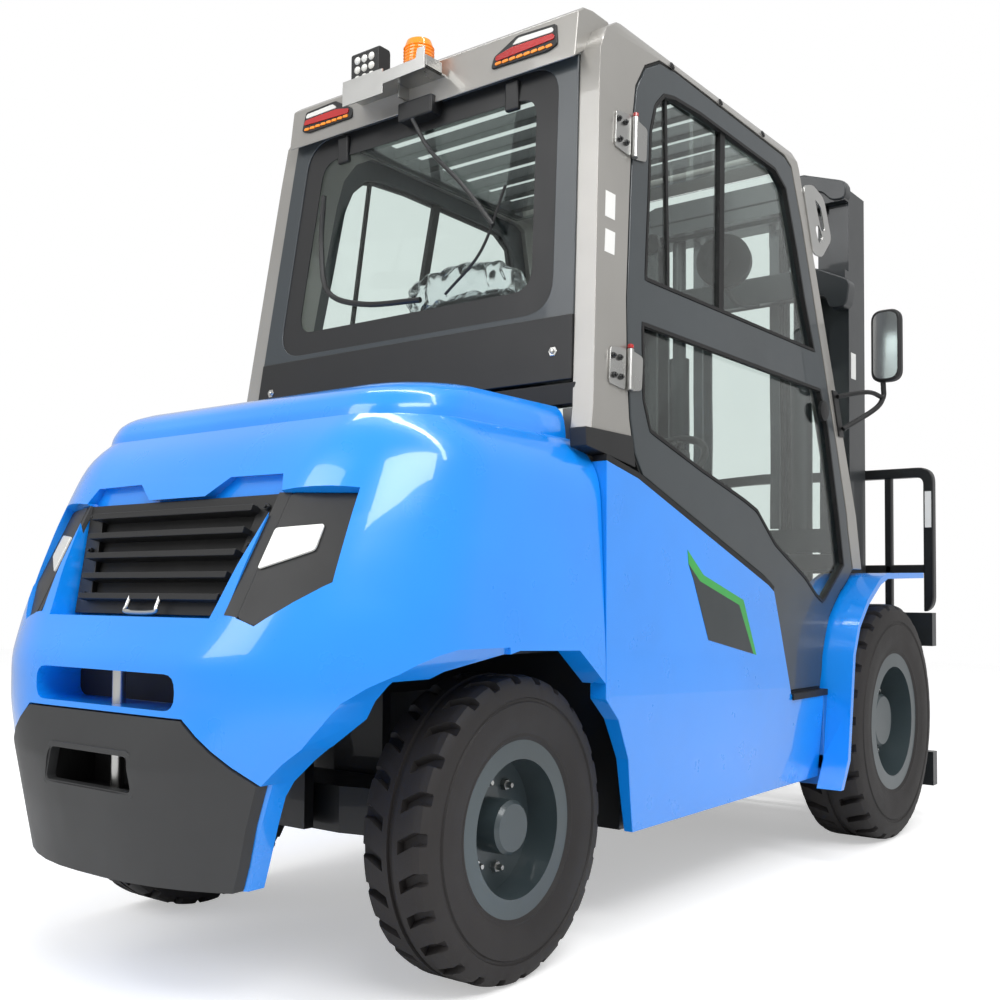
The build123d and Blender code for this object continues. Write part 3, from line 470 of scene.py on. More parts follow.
def nuts(centres: np.ndarray, axis: Triple, radius: float, height: float) -> Solid:
    """Six-sided nuts with a stud end, one at each centre, in one mesh."""
    n, a, b = basis(axis)
    levels = [(0, 1), (0.8, 1), (1, 0.86), (1, 0.5), (1.6, 0.5), (1.7, 0.4)]
    one = np.concatenate([height * h * n + radius * r * ring(a, b, 6) for h, r in levels])
    faces = quads(len(levels), 6).tolist()
    faces += [list(range(6)), list(range(6 * len(levels) - 6, 6 * len(levels)))[::-1]]
    centres = np.asarray(centres, float).reshape(-1, 3)
    shifts = [index * len(one) for index in range(len(centres))]
    every = [[corner + shift for corner in face] for shift in shifts for face in faces]
    return Solid.of(centres[:, None] + one[None], every)


def padded_form(
        centre: Triple, half: Triple, lean: float, softness: float, wrinkle: float = 0.0,
        steps: int = 56) -> Solid:
    """Crowned cushion: a box-like superellipsoid turned about y by lean.

    x = a c(u)^e c(v)^e, y = b s(u)^e c(v)^e, z = c s(v)^e with signed powers, and folds of
    small sines ride along it where wrinkle is set.
    """
    u = np.linspace(-np.pi, np.pi, 2 * steps, endpoint=False)[None, :]
    v = np.linspace(-np.pi / 2, np.pi / 2, steps)[:, None]

    def power(value: np.ndarray) -> np.ndarray:
        """Signed power of a sine or cosine."""
        return np.sign(value) * np.abs(value) ** softness

    level = power(np.cos(v))
    unit = (power(np.cos(u)) * level, power(np.sin(u)) * level, power(np.sin(v)) * np.ones_like(u))
    local = np.stack(unit, -1) * half
    if wrinkle:
        x, y, z = np.moveaxis(local, -1, 0)
        fold = (np.sin(0.045 * x + 2.1 * np.sin(0.021 * y)) * np.sin(0.062 * y + 1.7 * np.sin(0.033 * z))
                + 0.5 * np.sin(0.11 * z + 2.9 * np.sin(0.05 * y)))
        local *= 1 + wrinkle * fold[..., None] / 100
    c, s = math.cos(lean), math.sin(lean)
    points = local @ np.array([(c, 0, s), (0, 1, 0), (-s, 0, c)]).T + np.array(centre)
    points[0], points[-1] = points[0].mean(0), points[-1].mean(0)
    solid = Solid.of(points, quads(steps, 2 * steps).tolist())
    with edited(solid.piece.data) as body:
        bmesh.ops.remove_doubles(body, verts=body.verts[:], dist=0.00001)
    return solid.outward()


def blended(
        sections: Sequence[tuple[float, float, float, float, float]], inset: float = 0.0, rows: int = 46,
        arc: int = 14) -> Solid:
    """Blend level outlines whose rear corners are round.

    A section is (height, distance from the rear end, narrowing, corner radius, front x). Between
    sections each size runs straight, and is then eased by a running mean so that no hard line
    shows. A level's corner is centre + radius (cos a, sin a).

    Args:
        sections: the sections from the foot up.
        inset: how far inside the outer face the shape lies.
        rows: levels of the grid.
        arc: points in each rounded corner.

    Returns:
        The closed solid.
    """
    table = np.array(sections, float)
    z = np.linspace(table[0, 0], table[-1, 0], rows)
    sizes = np.stack([np.interp(z, table[:, 0], table[:, column]) for column in range(1, 5)], -1)
    eased = sizes.copy()
    eased[1:-1] = (sizes[:-2] + 2 * sizes[1:-1] + sizes[2:]) / 4
    back, narrow, radius, front = (eased[:, k, None] for k in range(4))
    radius = radius - inset
    rear = back + inset - 690 + radius
    half = BODY_HALF - narrow - inset
    a = np.linspace(0, np.pi / 2, arc)[None, :]
    left = np.stack([rear - radius * np.sin(a), half - radius + radius * np.cos(a)], -1)
    right = (left * (1, -1))[:, ::-1]
    ends = [np.stack([front, hand * half], -1) for hand in (1, -1)]
    level = np.concatenate([ends[0], left, right, ends[1]], 1)
    height = np.broadcast_to(z[:, None, None], (*level.shape[:2], 1))
    return loft(np.concatenate([level, height], -1), rows)


@dataclass
class RearBody:
    """Counterweight with its top slab, lower panel, grille and corner lamps."""

    front: float = 267.0
    lower: tuple = ((265, 23, 13, 600), (400, 8, 8, 573), (500, 3, 3, 540), (596, 36, 0, 430))
    upper: tuple = (
        (700, 36, 0, 430), (794, 90, 4, 365), (900, 137, 8, 343), (1000, 193, 12, 310),
        (1080, 235, 15, 300), (1130, 265, 23, 280), (1165, 290, 40, 250), (1195, 318, 64, 222),
        (1220, 350, 93, 190))
    arch: tuple = (
        (-512, -10), (-512, 450), (-470, 545), (-400, 610), (-277, 690), (-75, 727), (157, 720), (313, 605),
        (425, 450), (425, -10))
    arch_end: tuple = (
        (350, 200), (350, 265), (366, 316), (389, 395), (418, 479), (456, 522), (489, 551), (523, 597),
        (547, 636), (580, 667), (610, 690), (650, 735), (700, 735), (700, 200))
    lower_panel: tuple = even((345, 267), (362, 316), (385, 395), (414, 479), (262, 596))
    grille_outline: tuple = even((278, 794), (338, 1056), (320, 1091), (156, 1093), (97, 1053))
    lamp_origin: Triple = (-457.0, -350.0, 1055.0)
    lamp_across: Triple = (0.35505, -0.93433, -0.03114)
    lamp_out: Triple = (-0.83584, -0.33219, 0.43706)
    lamp_outline: tuple = ((2, -4), (161, -3), (143, -206), (3, -307), (-44, -289))
    joint_outline: tuple = ((4, -4), (-42, -288), (-72, -282), (-24, -4))

    def sections(self, top: bool = True) -> list:
        """Return the sections with the front face added."""
        return [(*row, self.front) for row in self.lower + (self.upper if top else ())]

    def grille_x(self, z: float) -> float:
        """Station of the grille recess's floor at a height."""
        return -522 + 0.3125 * (z - 794)

    def lamp(self, outline: Outline, start: float, end: float) -> Solid:
        """Slab on the plane of the right corner lamp."""
        return on_plane(self.lamp_origin, self.lamp_across, self.lamp_out, outline, start, end)

    def build(self) -> None:
        """Build and dress every piece of the rear body."""
        self.weight()
        self.cover()
        self.lower_piece()
        self.grille()
        self.lamps()

    def weight(self) -> None:
        """Build the casting with its arches, recesses and pin slot."""
        casting = blended(self.sections())
        casting.cut(slab(SIDE, self.arch, -670, 670), brick((-410, 600), (-591, 591), (0, 742)))
        for hand in (-1, 1):
            casting.cut(slab(CROSS, [(hand * y, z) for y, z in self.arch_end], -720, -110))
        pocket = slab(CROSS, even((420, 200), (420, 478), (264, 600)), -720, -270)
        pocket.cut(blended(self.sections(False) + [(700, 36, 0, 430, self.front)], 24))
        casting.cut(pocket)
        lip = slab(SIDE, [(-800, 794), (-522, 794), (-427, 1098), (-800, 1098)], -345, 345)
        casting.cut(lip.keep(slab(CROSS, self.grille_outline, -800, -300)))
        for outline in (self.lamp_outline, self.joint_outline):
            recess = self.lamp(outline, -12, 108)
            casting.cut(recess.copy().mirror(), recess)
        casting.cut(slab(CROSS, rounded(rect(-240, 240, 612, 684), 35), -700, -540))
        casting.cut(brick((-700, -560), (-150, 150), (430, 530)))
        casting.cut(turned((-609, 0, 380), (0, 0, 1), [(0, 15), (345, 15)], 24))
        casting.dress("rear_weight", BLUE, "counterweight", bevel=5, smooth=30)
        # Thin sheets of the dark seal finish over the back, floor, roof and sides of the pin slot and the
        # back of the recess above it: painted shade inside the openings, not a real lining.
        shade_sheets = brick((-564, -561), (-149, 149), (431, 529))
        shade_sheets.join(
            brick((-544, -541), (-238, 238), (613, 683)), brick((-660, -561), (-149, 149), (526, 529)),
            brick((-660, -561), (-149, 149), (431, 434)), brick((-660, -561), (-149, -146), (432, 528)),
            brick((-660, -561), (146, 149), (432, 528)))
        shade_sheets.dress("opening_shade_sheets", SEAL_AND_SHADE)

    def cover(self) -> None:
        """Build the raised slab on top, with its soft crease."""
        slab_rows = [
            (1215, 352, 94, 180, 237), (1240, 358, 95, 180, 237), (1268, 376, 100, 178, 237),
            (1286, 402, 108, 174, 237), (1299, 440, 122, 170, 237)]
        blended(slab_rows, rows=16).dress("weight_slab", BLUE, "counterweight_cover", bevel=3, smooth=40)

    def lower_piece(self) -> None:
        """Build the dark lower panel with the tow opening and the rim round it."""
        table = self.sections(False)
        shell = blended([(z, back - 3, max(0, narrow - 3), *rest) for z, back, narrow, *rest in table])
        shell.keep(slab(CROSS, self.lower_panel, -720, -270))
        shell.cut(
            blended([(200, 23, 13, 600, self.front)] + table
            + [(650, 36, 0, 430, self.front)], 20))
        shell.cut(slab(CROSS, rounded(even((151, 445), (134, 521)), 14), -720, -560))
        shell.dress("rear_lower_panel", PANEL, "rear_bumper", bevel=3)
        rim = slab(CROSS, rounded(even((160, 437), (141, 530)), 16), -684, -660)
        rim.cut(slab(CROSS, rounded(even((147, 449), (131, 518)), 12), -720, -600))
        rim.dress("tow_opening_rim", PANEL, bevel=2)

    def grille(self) -> None:
        """Build the framed grille with leaning louvres, the bolts in its corners and the latch."""
        x = self.grille_x
        edge = [(x(797) - 18, 797), (x(797), 797), (x(1048), 1048), (x(1048) - 18, 1048)]
        frame_plate = slab(SIDE, edge, -345, 345)
        frame_plate.keep(slab(CROSS, even((274, 797), (331, 1048)), -800, -300))
        frame_plate.cut(slab(CROSS, rounded(even((228, 826), (270, 1024)), 10), -700, -300))
        for row in range(5):
            z = 820 + row * 46
            blade = slab(
                SIDE, [(x(z) - 2, z), (x(z + 9) - 2, z + 9), (x(z) - 36, z + 24), (x(z) - 40, z + 10)],
                -300, 300)
            frame_plate.join(blade.keep(slab(CROSS, even((236, 806), (283, 1050)), -800, -300)))
        frame_plate.dress("rear_louvres", BLACK, "rear_grille", bevel=2)
        backing = slab(
            SIDE, [(x(799) - 4, 799), (x(799) - 1, 799), (x(1046) - 1, 1046), (x(1046) - 4, 1046)], -286,
            286)
        backing.keep(slab(CROSS, even((236, 799), (292, 1046)), -800, -300))
        backing.dress("grille_backing", SEAL_AND_SHADE)
        out = (-1.0, 0.0, 0.3)
        places = [
            (x(z) - 19, hand * y, z) for y, z in ((252, 838), (276, 940), (300, 1020)) for hand in (-1, 1)]
        nuts(np.array(places), out, 8, 7).dress("grille_bolts", STEEL)
        loop = tube(
            [(-547, -52, 836), (-556, -52, 816), (-562, -46, 803), (-562, 46, 803), (-556, 52, 816),
            (-547, 52, 836)], 5, 10, 4)
        loop.dress("grille_latch", BRIGHT)

    def lamps(self) -> None:
        """Build the dark corner lamp panels, their reflectors and the seam round them."""
        panels = self.lamp(rounded(self.lamp_outline, 14), -12, -2)
        panels.twin().dress("corner_lamp_panels", BLACK, bevel=3)
        joint = self.lamp(self.joint_outline, -14, -4)
        joint.twin().dress("corner_lamp_joints", BLACK)
        lens = self.lamp(rounded([(-8, -90), (97, -78), (90, -137), (-24, -184)], 8), -2, 4)
        lens.twin().dress("corner_reflectors", CLEAR, bevel=1.5)


@dataclass
class SideBody:
    """Side panels, belt trims, decal, corner panels and front fenders."""

    belt: tuple = ((270, 1165), (417, 1135), (1185, 882), (1228, 862))
    crease: tuple = ((296, 607), (679, 718), (1308, 570))
    fender_back: tuple = (
        (2400, 941), (1995, 932), (1921, 909), (1802, 840), (1712, 758), (1664, 662), (1640, 503),
        (1612, 330), (1549, 237))
    fender_inside: tuple = (
        (1574, 237), (1634, 322), (1661, 500), (1685, 658), (1730, 748), (1814, 824), (1930, 890),
        (2003, 912), (2400, 921))

    def build(self) -> None:
        """Build and dress every piece of the sides."""
        self.panels()
        self.trims()
        self.decal()
        self.fenders()
        corners = wall([(204, 1240), (419, 1240), (425, 1162), (268, 1184), (203, 1194)], -6, 42)
        corners.twin().dress("corner_panels", BLACK, bevel=3)

    def panels(self) -> None:
        """Build the side panels: an upper face, and a lower face that falls in below the crease."""
        outline = [
            *self.belt, (1262, 780), (1355, 547), (1612, 547), (1612, 266), (428, 266), (409, 350),
            (389, 449), (332, 549), (270, 602)]
        side = slab(SIDE, outline, -BODY_HALF, -BODY_HALF + 45)
        wedge = slab(
            SIDE, [(200, 579), *self.crease, (1700, 478), (1700, 200), (200, 200)], -BODY_HALF - 5,
            -BODY_HALF + 24)

        def pinch(place: np.ndarray) -> None:
            """Bring the wedge to an edge along the crease."""
            place[(place[:, 1] > -BODY_HALF) & (place[:, 2] > 400), 1] = -BODY_HALF

        side.cut(wedge.moved(pinch)).twin().dress("side_faces", BLUE, "side_panels", bevel=2, smooth=1)

    def trims(self) -> None:
        """Build the black line along the belt and the rubber sill under each door."""
        line = [*self.belt, *[(x + 4, z + 15) for x, z in self.belt[::-1]]]
        trim = slab(SIDE, line, -BODY_HALF + 1, -BODY_HALF + 40)
        trim.join(
            brick((1359, 1636), (-655, -606), (543, 549)), brick((1359, 1636), (-661, -655), (529, 549)))
        trim.twin().dress("belt_lines", SEAL_AND_SHADE, "belt_trims", bevel=1.5)

    def decal(self) -> None:
        """Build the bare green and dark decal plates, with no writing."""
        y = (-BODY_HALF - 0.9, -BODY_HALF - 0.1)
        green = slab(
            SIDE, [(674, 967), (765, 903), (1013, 836), (1099, 677), (1078, 681), (985, 822), (745, 886),
            (680, 930)], *y)
        green.twin().dress("decal_green_shape", GREEN)
        dark = slab(SIDE, [(680, 930), (745, 886), (985, 822), (1078, 681), (794, 728), (708, 889)], *y)
        dark.twin().dress("decal_dark_shape", DARK)

    def fenders(self) -> None:
        """Build the curved band over each drive wheel and its inner plates."""
        band = slab(SIDE, [*self.fender_back, *self.fender_inside], -735, -505)
        band.cut(brick((1200, 1613), (-655, 0), (0, 600)))
        plate = slab(
            SIDE, [(1613, 240), (1613, 546), (1645, 546), (1659, 500), (1634, 324), (1626, 240)], -655,
            -505)
        skirt = slab(
            SIDE, [(1728, 770), (1810, 838), (1924, 906), (2000, 930), (2140, 933), (2140, 770)], -498,
            -486)
        left = band.copy().mirror()
        band.dress("fender_band_right", BLUE, "front_fenders", bevel=5, smooth=38)
        left.dress("fender_band_left", BLUE, bevel=5, smooth=38)
        # The inner plates take the darker blue as painted shade inside the arch.
        plate.join(skirt).twin().dress("fender_plates", SHADED_BLUE, bevel=2)


def grown(outline: Outline, amount: float) -> np.ndarray:
    """Move each edge of an outline out by an amount, and meet the edges again in corners."""
    p = np.asarray(outline, float)
    edge = np.roll(p, -1, 0) - p
    n = np.stack([edge[:, 1], -edge[:, 0]], -1) / np.linalg.norm(edge, axis=1)[:, None]
    sign = np.sign(np.sum(p[:, 0] * np.roll(p[:, 1], -1) - np.roll(p[:, 0], -1) * p[:, 1]))
    n = n * sign
    before = np.roll(n, 1, 0)
    share = 1 + np.sum(n * before, axis=1)
    return p + amount * (n + before) / np.maximum(share, 0.35)[:, None]


@dataclass
class Cab:
    """Cab frame with its windows, lamps, hinges, grab plates and mirrors."""

    door: tuple = (
        (470, 1146), (436, 1200), (424, 1285), (426, 1400), (442, 1590), (487, 1860), (527, 2085),
        (553, 2180), (609, 2254), (691, 2298), (779, 2305), (1530, 2293), (1580, 2272), (1640, 2085),
        (1748, 1650), (1820, 1350), (1880, 1070), (1922, 942), (1873, 905), (1810, 870), (1756, 828),
        (1707, 785), (1668, 712), (1646, 657), (1639, 608), (1622, 556), (1372, 556), (1278, 795),
        (1240, 886), (1192, 908))
    frame_outline: tuple = (
        (236, 1240), (251, 1300), (357, 2100), (376, 2225), (415, 2292), (478, 2332), (560, 2350),
        (1560, 2350), (1620, 2335), (1648, 2290), (2010, 945), (1800, 945), (1800, 1240))
    upper_pane: tuple = (
        (536, 1661), (577, 1884), (611, 2084), (647, 2166), (703, 2216), (767, 2230), (919, 2238),
        (1442, 2230), (1523, 2187), (1582, 1993), (1622, 1833), (1679, 1667))
    lower_pane: tuple = (
        (508, 1545), (490, 1341), (517, 1262), (783, 1188), (1057, 1120), (1139, 1096), (1268, 1003),
        (1500, 905), (1591, 850), (1645, 829), (1673, 841), (1841, 955), (1793, 1130), (1749, 1423),
        (1704, 1545))

    def hollow(self, outline: Outline, gap: float = 0.5, wall_deep: float = 60.0) -> Solid:
        """Full-width piece between the side walls: y runs to the wall's half width at each height."""

        def spread(place: np.ndarray) -> None:
            """Set each point's y from its height."""
            place[:, 1] = np.sign(place[:, 1]) * (wall_half(place[:, 2]) - wall_deep - gap)

        return slab(SIDE, outline, -1000, 1000).moved(spread)

    def build(self) -> None:
        """Build and dress every piece of the cab but its doors."""
        self.frame()
        self.windows()
        self.lamps()
        self.hinges()
        self.grab()
        self.mirrors()
        self.labels()

    def frame(self) -> None:
        """Build the side frames, the sloping fascia, header, cowl and rear sill."""
        side = wall(self.frame_outline, 0, 60)
        side.cut(wall(grown(self.door, 8), -10, 40))
        side.cut(wall(grown(self.door, -20), -10, 70))
        lean = [
            (-wall_half(2308), 2308), (-wall_half(2350) + 9, 2336), (-wall_half(2350) + 34, 2351),
            (-720, 2351), (-720, 2308)]
        side.cut(slab(CROSS, lean, 0, 2200))
        side.join(wall(rect(272, 430, 742, 1300), 42, 102)).twin().dress(
            "cab_sides", TAUPE, "cab_frame", bevel=4, smooth=38)
        fascia = slab(
            SIDE, [(334, 2198), (351, 2322), (378, 2342), (420, 2350), (500, 2350), (500, 2330),
            (440, 2230), (379, 2227)], -518, 518)
        header = slab(
            SIDE, [(1500, 2292), (1648, 2292), (1625, 2340), (1600, 2350), (1500, 2350)], -510, 510)
        fascia.join(header)
        fascia.dress("cab_fascia", TAUPE, bevel=5, smooth=40)
        cowl = brick((1955, 2012), (-585, 585), (942, 1000))
        cowl.join(brick((257, 300), (-575, 575), (1305, 1360)))
        cowl.dress("cab_cross_bars", BLACK, bevel=4)

    def windows(self) -> None:
        """Build the rear window with its black border, the windscreen, and the panel under them."""
        rear = [(282, 1534), (288, 1534), (378, 2222), (372, 2222)]
        pane = self.hollow(rear)
        screen = self.hollow([(1988, 1004), (1982, 1004), (1637, 2288), (1643, 2288)])
        roof = brick((442, 1498), (-498, 498), (2278, 2284))
        pane.join(screen, roof)
        pane.dress("cab_panes", GLASS, "cab_glass")
        border = self.hollow([(279, 1534), (282, 1534), (372, 2222), (369, 2222)])
        hole = rounded(even((420, 1612), (388, 2140)), 60, 8)
        border.cut(slab(CROSS, hole, 200, 420))
        border.dress("rear_window_border", BLACK)
        seam = self.hollow([(276, 1528), (284, 1528), (374, 2228), (366, 2228)], -1)
        seam.cut(slab(CROSS, rounded(even((490, 1545), (452, 2212)), 90, 8), 200, 420))
        seam.dress("rear_window_frame", SLATE, bevel=2)
        panel = self.hollow([(253, 1366), (300, 1366), (318, 1530), (272, 1530)])
        panel.dress("cab_rear_panel", BLACK, "rear_panel", bevel=3)
        knobs = np.array([(266.0, hand * 505.0, 1440.0) for hand in (-1, 1)])
        nuts(knobs, (-1, 0, 0.1), 13, 7).dress("rear_panel_knobs", BRIGHT)
        box = brick((318, 372), (-62, 62), (2168, 2222))
        box.join(brick((352, 372), (-330, -286), (2120, 2200)), brick((352, 372), (286, 330), (2120, 2200)))
        box.dress("rear_window_box", BLACK, bevel=6)
        arm = tube([(312, 0, 2160), (318, -60, 2060), (300, -190, 1930), (288, -300, 1800)], 6)
        blade = tube([(300, -330, 1900), (290, -260, 1740), (278, -150, 1640)], 4)
        cable = tube([(300, 330, 2010), (300, 338, 1860), (292, 300, 1720), (284, 150, 1660),
                      (282, -60, 1640)], 8)
        arm.join(blade, cable).dress("rear_wiper", BLACK)
        bars = [brick((500 + 130 * k, 540 + 130 * k), (-486, 486), (2292, 2328)) for k in range(8)]
        rails = [brick((455, 1498), y, (2288, 2334)) for y in ((-497, -467), (467, 497))]
        fused(*bars, *rails).dress("roof_bars", MAST, "roof_guard", slot="slate_paint", bevel=4)
        plugs = [
            turned((x, -float(wall_half(2300)) + 1, 2316.0), (0, -1, 0.3), [(0, 11), (3, 10), (4, 6)], 20)
            for x in (760.0, 1060.0, 1360.0)]
        fused(*plugs).twin().dress("roof_plugs", SEAL_AND_SHADE)

    def lamps(self) -> None:
        """Build the rear lamps on the fascia, the beacon, its tray and the work lamp."""
        shape = [(-254, 2238), (-261, 2270), (-332, 2310), (-455, 2305), (-464, 2245), (-434, 2235)]

        def skin(outline: Outline, low: float, high: float) -> Solid:
            """Slab that leans with the fascia: x falls back with the height."""

            def lean(place: np.ndarray) -> None:
                """Set each point's x from its height."""
                depth = np.where(place[:, 0] > 500, high, low)
                place[:, 0] = 334 + 0.137 * (place[:, 2] - 2198) + depth

            return slab(CROSS, rounded(outline, 8), 0, 1000).moved(lean)

        skin(shape, -6, 8).twin().dress(
            "rear_lamp_housings", BLACK, "rear_lamps", slot="lamp_plastic", bevel=2)
        top = skin([(-338, 2300), (-448, 2296), (-450, 2282), (-320, 2284)], -9, -4)
        top.twin().dress("rear_lamp_tops", CLEAR, bevel=1)
        low = skin([(-268, 2268), (-320, 2280), (-452, 2278), (-456, 2262), (-270, 2254)], -9, -4)
        low.twin().dress("rear_lamp_reds", RED, bevel=1)
        cells = [
            skin([(-270 - 23 * k, 2250), (-288 - 23 * k, 2251), (-290 - 23 * k, 2244),
            (-270 - 23 * k, 2242)], -9, -4) for k in range(8)]
        fused(*cells).twin().dress("rear_lamp_ambers", AMBER)
        low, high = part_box("beacon")
        x, y = ((low.x + high.x) * 500 - REAR_AXLE), (low.y + high.y) * 500
        foot = turned((x, y, 2272), (0, 0, 1), [(0, 38), (22, 38), (24, 34)])
        foot.dress("beacon_foot", BLACK)
        dome = turned((x, y, 2294), (0, 0, 1), [(0, 40), (4, 42), (60, 39), (74, 34), (80, 22), (82, 4)])
        ribs = [turned((x, y, 2300 + 9 * k), (0, 0, 1), [(0, 40), (2, 43), (4, 40)]) for k in range(6)]
        dome.join(*ribs).dress("beacon_dome", AMBER, "beacon", slot="amber_plastic")
        tray = brick((262, 350), (-90, 222), (2266, 2272))
        tray.join(
            brick((262, 268), (70, 222), (2272, 2306)), brick((262, 330), (-90, -84), (2266, 2300)),
            brick((300, 360), (40, 46), (2230, 2268)))
        tray.join(
            slab(CROSS, [(218, 2232), (64, 2232), (64, 2258), (-88, 2262), (-88, 2322), (-62, 2322),
            (-56, 2296), (218, 2288)], 257, 261))
        tray.dress("lamp_tray", BRIGHT, "lamp_bracket", bevel=1)
        head = slab(SIDE, rounded(rect(284, 336, 2286, 2392), 12), 105, 211)
        head.join(brick((300, 314), (150, 166), (2270, 2290)))
        head.dress("work_lamp_body", BLACK, bevel=3)
        spots = np.stack(np.meshgrid([284.0], [131.0, 158.0, 185.0], [2312.0, 2339.0, 2366.0]), -1)
        beads = [
            turned(tuple(spot), (-1, 0, 0), [(0, 11), (3, 10), (6, 6), (7, 1)], 16)
            for spot in spots.reshape(-1, 3)]
        fused(*beads).dress("work_lamp_lens", CLEAR)

    def hinges(self) -> None:
        """Build two hinges a door, with their leaves, pins and red caps."""
        for low, high in ((1352, 1460), (1972, 2086)):
            foot, top = (
                np.array((418 + 0.15 * (z - 1420), -float(wall_half(z)) - 10, z)) for z in (low, high))
            leaf = wall(
                rounded([(foot[0] - 88, low + 8), (foot[0] - 12, low), (top[0] - 12, high),
                (top[0] - 88, high - 8)], 12), -6, 0)
            leaf.join(turned(foot, top - foot, [(0, 7), (0, 9), (high - low, 9), (high - low, 7)], 20))
            leaf.twin().dress(f"hinge_frame_{low}", BRIGHT, bevel=1.5)
            leaf = wall(
                rounded([(foot[0] + 12, low), (foot[0] + 70, low + 10), (top[0] + 70, high - 10),
                (top[0] + 12, high)], 12), -6, 0)
            left = leaf.copy().mirror()
            leaf.dress(f"hinge_door_right_{low}", BRIGHT, body="door_right", bevel=1.5)
            left.dress(f"hinge_door_left_{low}", BRIGHT, body="door_left", bevel=1.5)
            cap = turned(top, (0.15, 0.066, 1), [(0, 8), (9, 8), (12, 4)], 16)
            cap.twin().dress(f"hinge_caps_{low}", RED, slot="black_plastic")
            spots = [
                (foot[0] - x, -float(wall_half(z)) - 6, z) for x in (34, 66) for z in (low + 30, high - 30)]
            nuts(np.array(spots), (0, -1, 0), 8, 6).twin().dress(f"hinge_screws_{low}", STEEL)

    def grab(self) -> None:
        """Build the silver grab plates at the tops of the front pillars."""
        plate = wall(
            rounded([(1665, 2235), (1750, 2262), (1848, 2240), (1893, 2103), (1790, 2015), (1715, 2010)],
            25), -6, 0)
        for slot in (
                [(1760, 2215), (1815, 2200), (1838, 2120), (1800, 2110)],
                [(1745, 2110), (1780, 2130), (1812, 2092), (1775, 2055)]):
            plate.cut(wall(rounded(slot, 16), -20, 10))
        plate.twin().dress("grab_plates", BRIGHT, bevel=1.5)

    def mirrors(self) -> None:
        """Build the outside mirrors on their bent arms."""
        x, y, foot = 2030.0, -727.0, 1605.0
        head = slab(CROSS, rounded(rect(y - 52, y + 52, foot, foot + 255), 40, 8), x - 18, x + 18)
        left = head.copy().mirror()
        head.dress("mirror_head_right", BLACK, "mirrors", bevel=8)
        left.dress("mirror_head_left", BLACK, bevel=8)
        glass = slab(CROSS, rounded(rect(y - 42, y + 42, foot + 10, foot + 245), 34, 8), x - 20, x - 17)
        glass.twin().dress("mirror_glasses", CHROME)
        joint = (x, y + 15, foot - 55)
        arms = tube(
            [(x, y + 15, foot + 10), (x, y + 13, foot - 20), joint, (1960, -705, 1500), (1855, -634, 1426)],
            9)
        arms.join(tube([joint, (1940, -690, 1560), (1826, -626, 1535)], 8))
        arms.join(wall([(1838, 1400), (1880, 1400), (1846, 1555), (1804, 1555)], -6, 0))
        arms.twin().dress("mirror_arms", BLACK, slot="black_steel")

    def labels(self) -> None:
        """Build the blank labels of the right pillar."""
        first = wall([(352, 1782), (398, 1782), (408, 1850), (362, 1850)], -0.8, -0.1)
        first.join(wall([(340, 1690), (386, 1690), (396, 1750), (350, 1750)], -0.8, -0.1))
        first.dress("pillar_labels", WHITE)


@dataclass
class Door:
    """One side door: its frame, seals, panes, sliding window, handle and mid rail."""

    cab: Cab
    hand: str

    def build(self) -> None:
        """Build and dress the door."""
        hand, body = self.hand, f"door_{self.hand}"
        shell = wall(self.cab.door, 0, 34)
        shell.cut(
            wall(rounded(self.cab.upper_pane, 20), -20, 60),
            wall(rounded(self.cab.lower_pane, 20), -20, 60))
        sided(shell, hand).dress(
            f"door_shell_{hand}", SLATE, f"door_frame_{hand}", body=body, bevel=4, smooth=38)
        seal = wall(grown(self.cab.door, 7), 4, 10)
        seal.cut(wall(grown(self.cab.door, 0.5), -20, 60))
        sided(seal, hand).dress(f"door_seal_{hand}", SEAL_AND_SHADE, body=body)
        panes = wall(self.cab.upper_pane, 14, 20)
        panes.join(wall(self.cab.lower_pane, 14, 20))
        sided(panes, hand).dress(f"door_panes_{hand}", GLASS, f"door_glass_{hand}", body=body)
        rims = [
            wall(grown(pane, 1), -1.5, 13) for pane in (self.cab.upper_pane, self.cab.lower_pane)]
        rims[0].cut(wall(grown(self.cab.upper_pane, -9), -20, 60))
        rims[1].cut(wall(grown(self.cab.lower_pane, -9), -20, 60))
        divider = wall([(975, 1661), (1005, 1661), (1093, 2236), (1063, 2236)], 6, 28)
        thin = wall([(676, 1661), (688, 1661), (738, 2218), (726, 2218)], 10, 24)
        rims[0].join(rims[1], divider, thin)
        sided(rims[0], hand).dress(f"door_rims_{hand}", SEAL_AND_SHADE, body=body, bevel=1)
        grip = tube([(1560, -592, 1640), (1552, -580, 1600), (1552, -590, 1560)], 7)
        grip.join(
            turned((1700, -float(wall_half(1470)) - 2, 1470), (0, -1, 0),
            [(0, 34), (10, 34), (14, 28), (14, 4)], 28))
        sided(grip, hand).dress(f"door_catch_{hand}", BLACK, body=body)


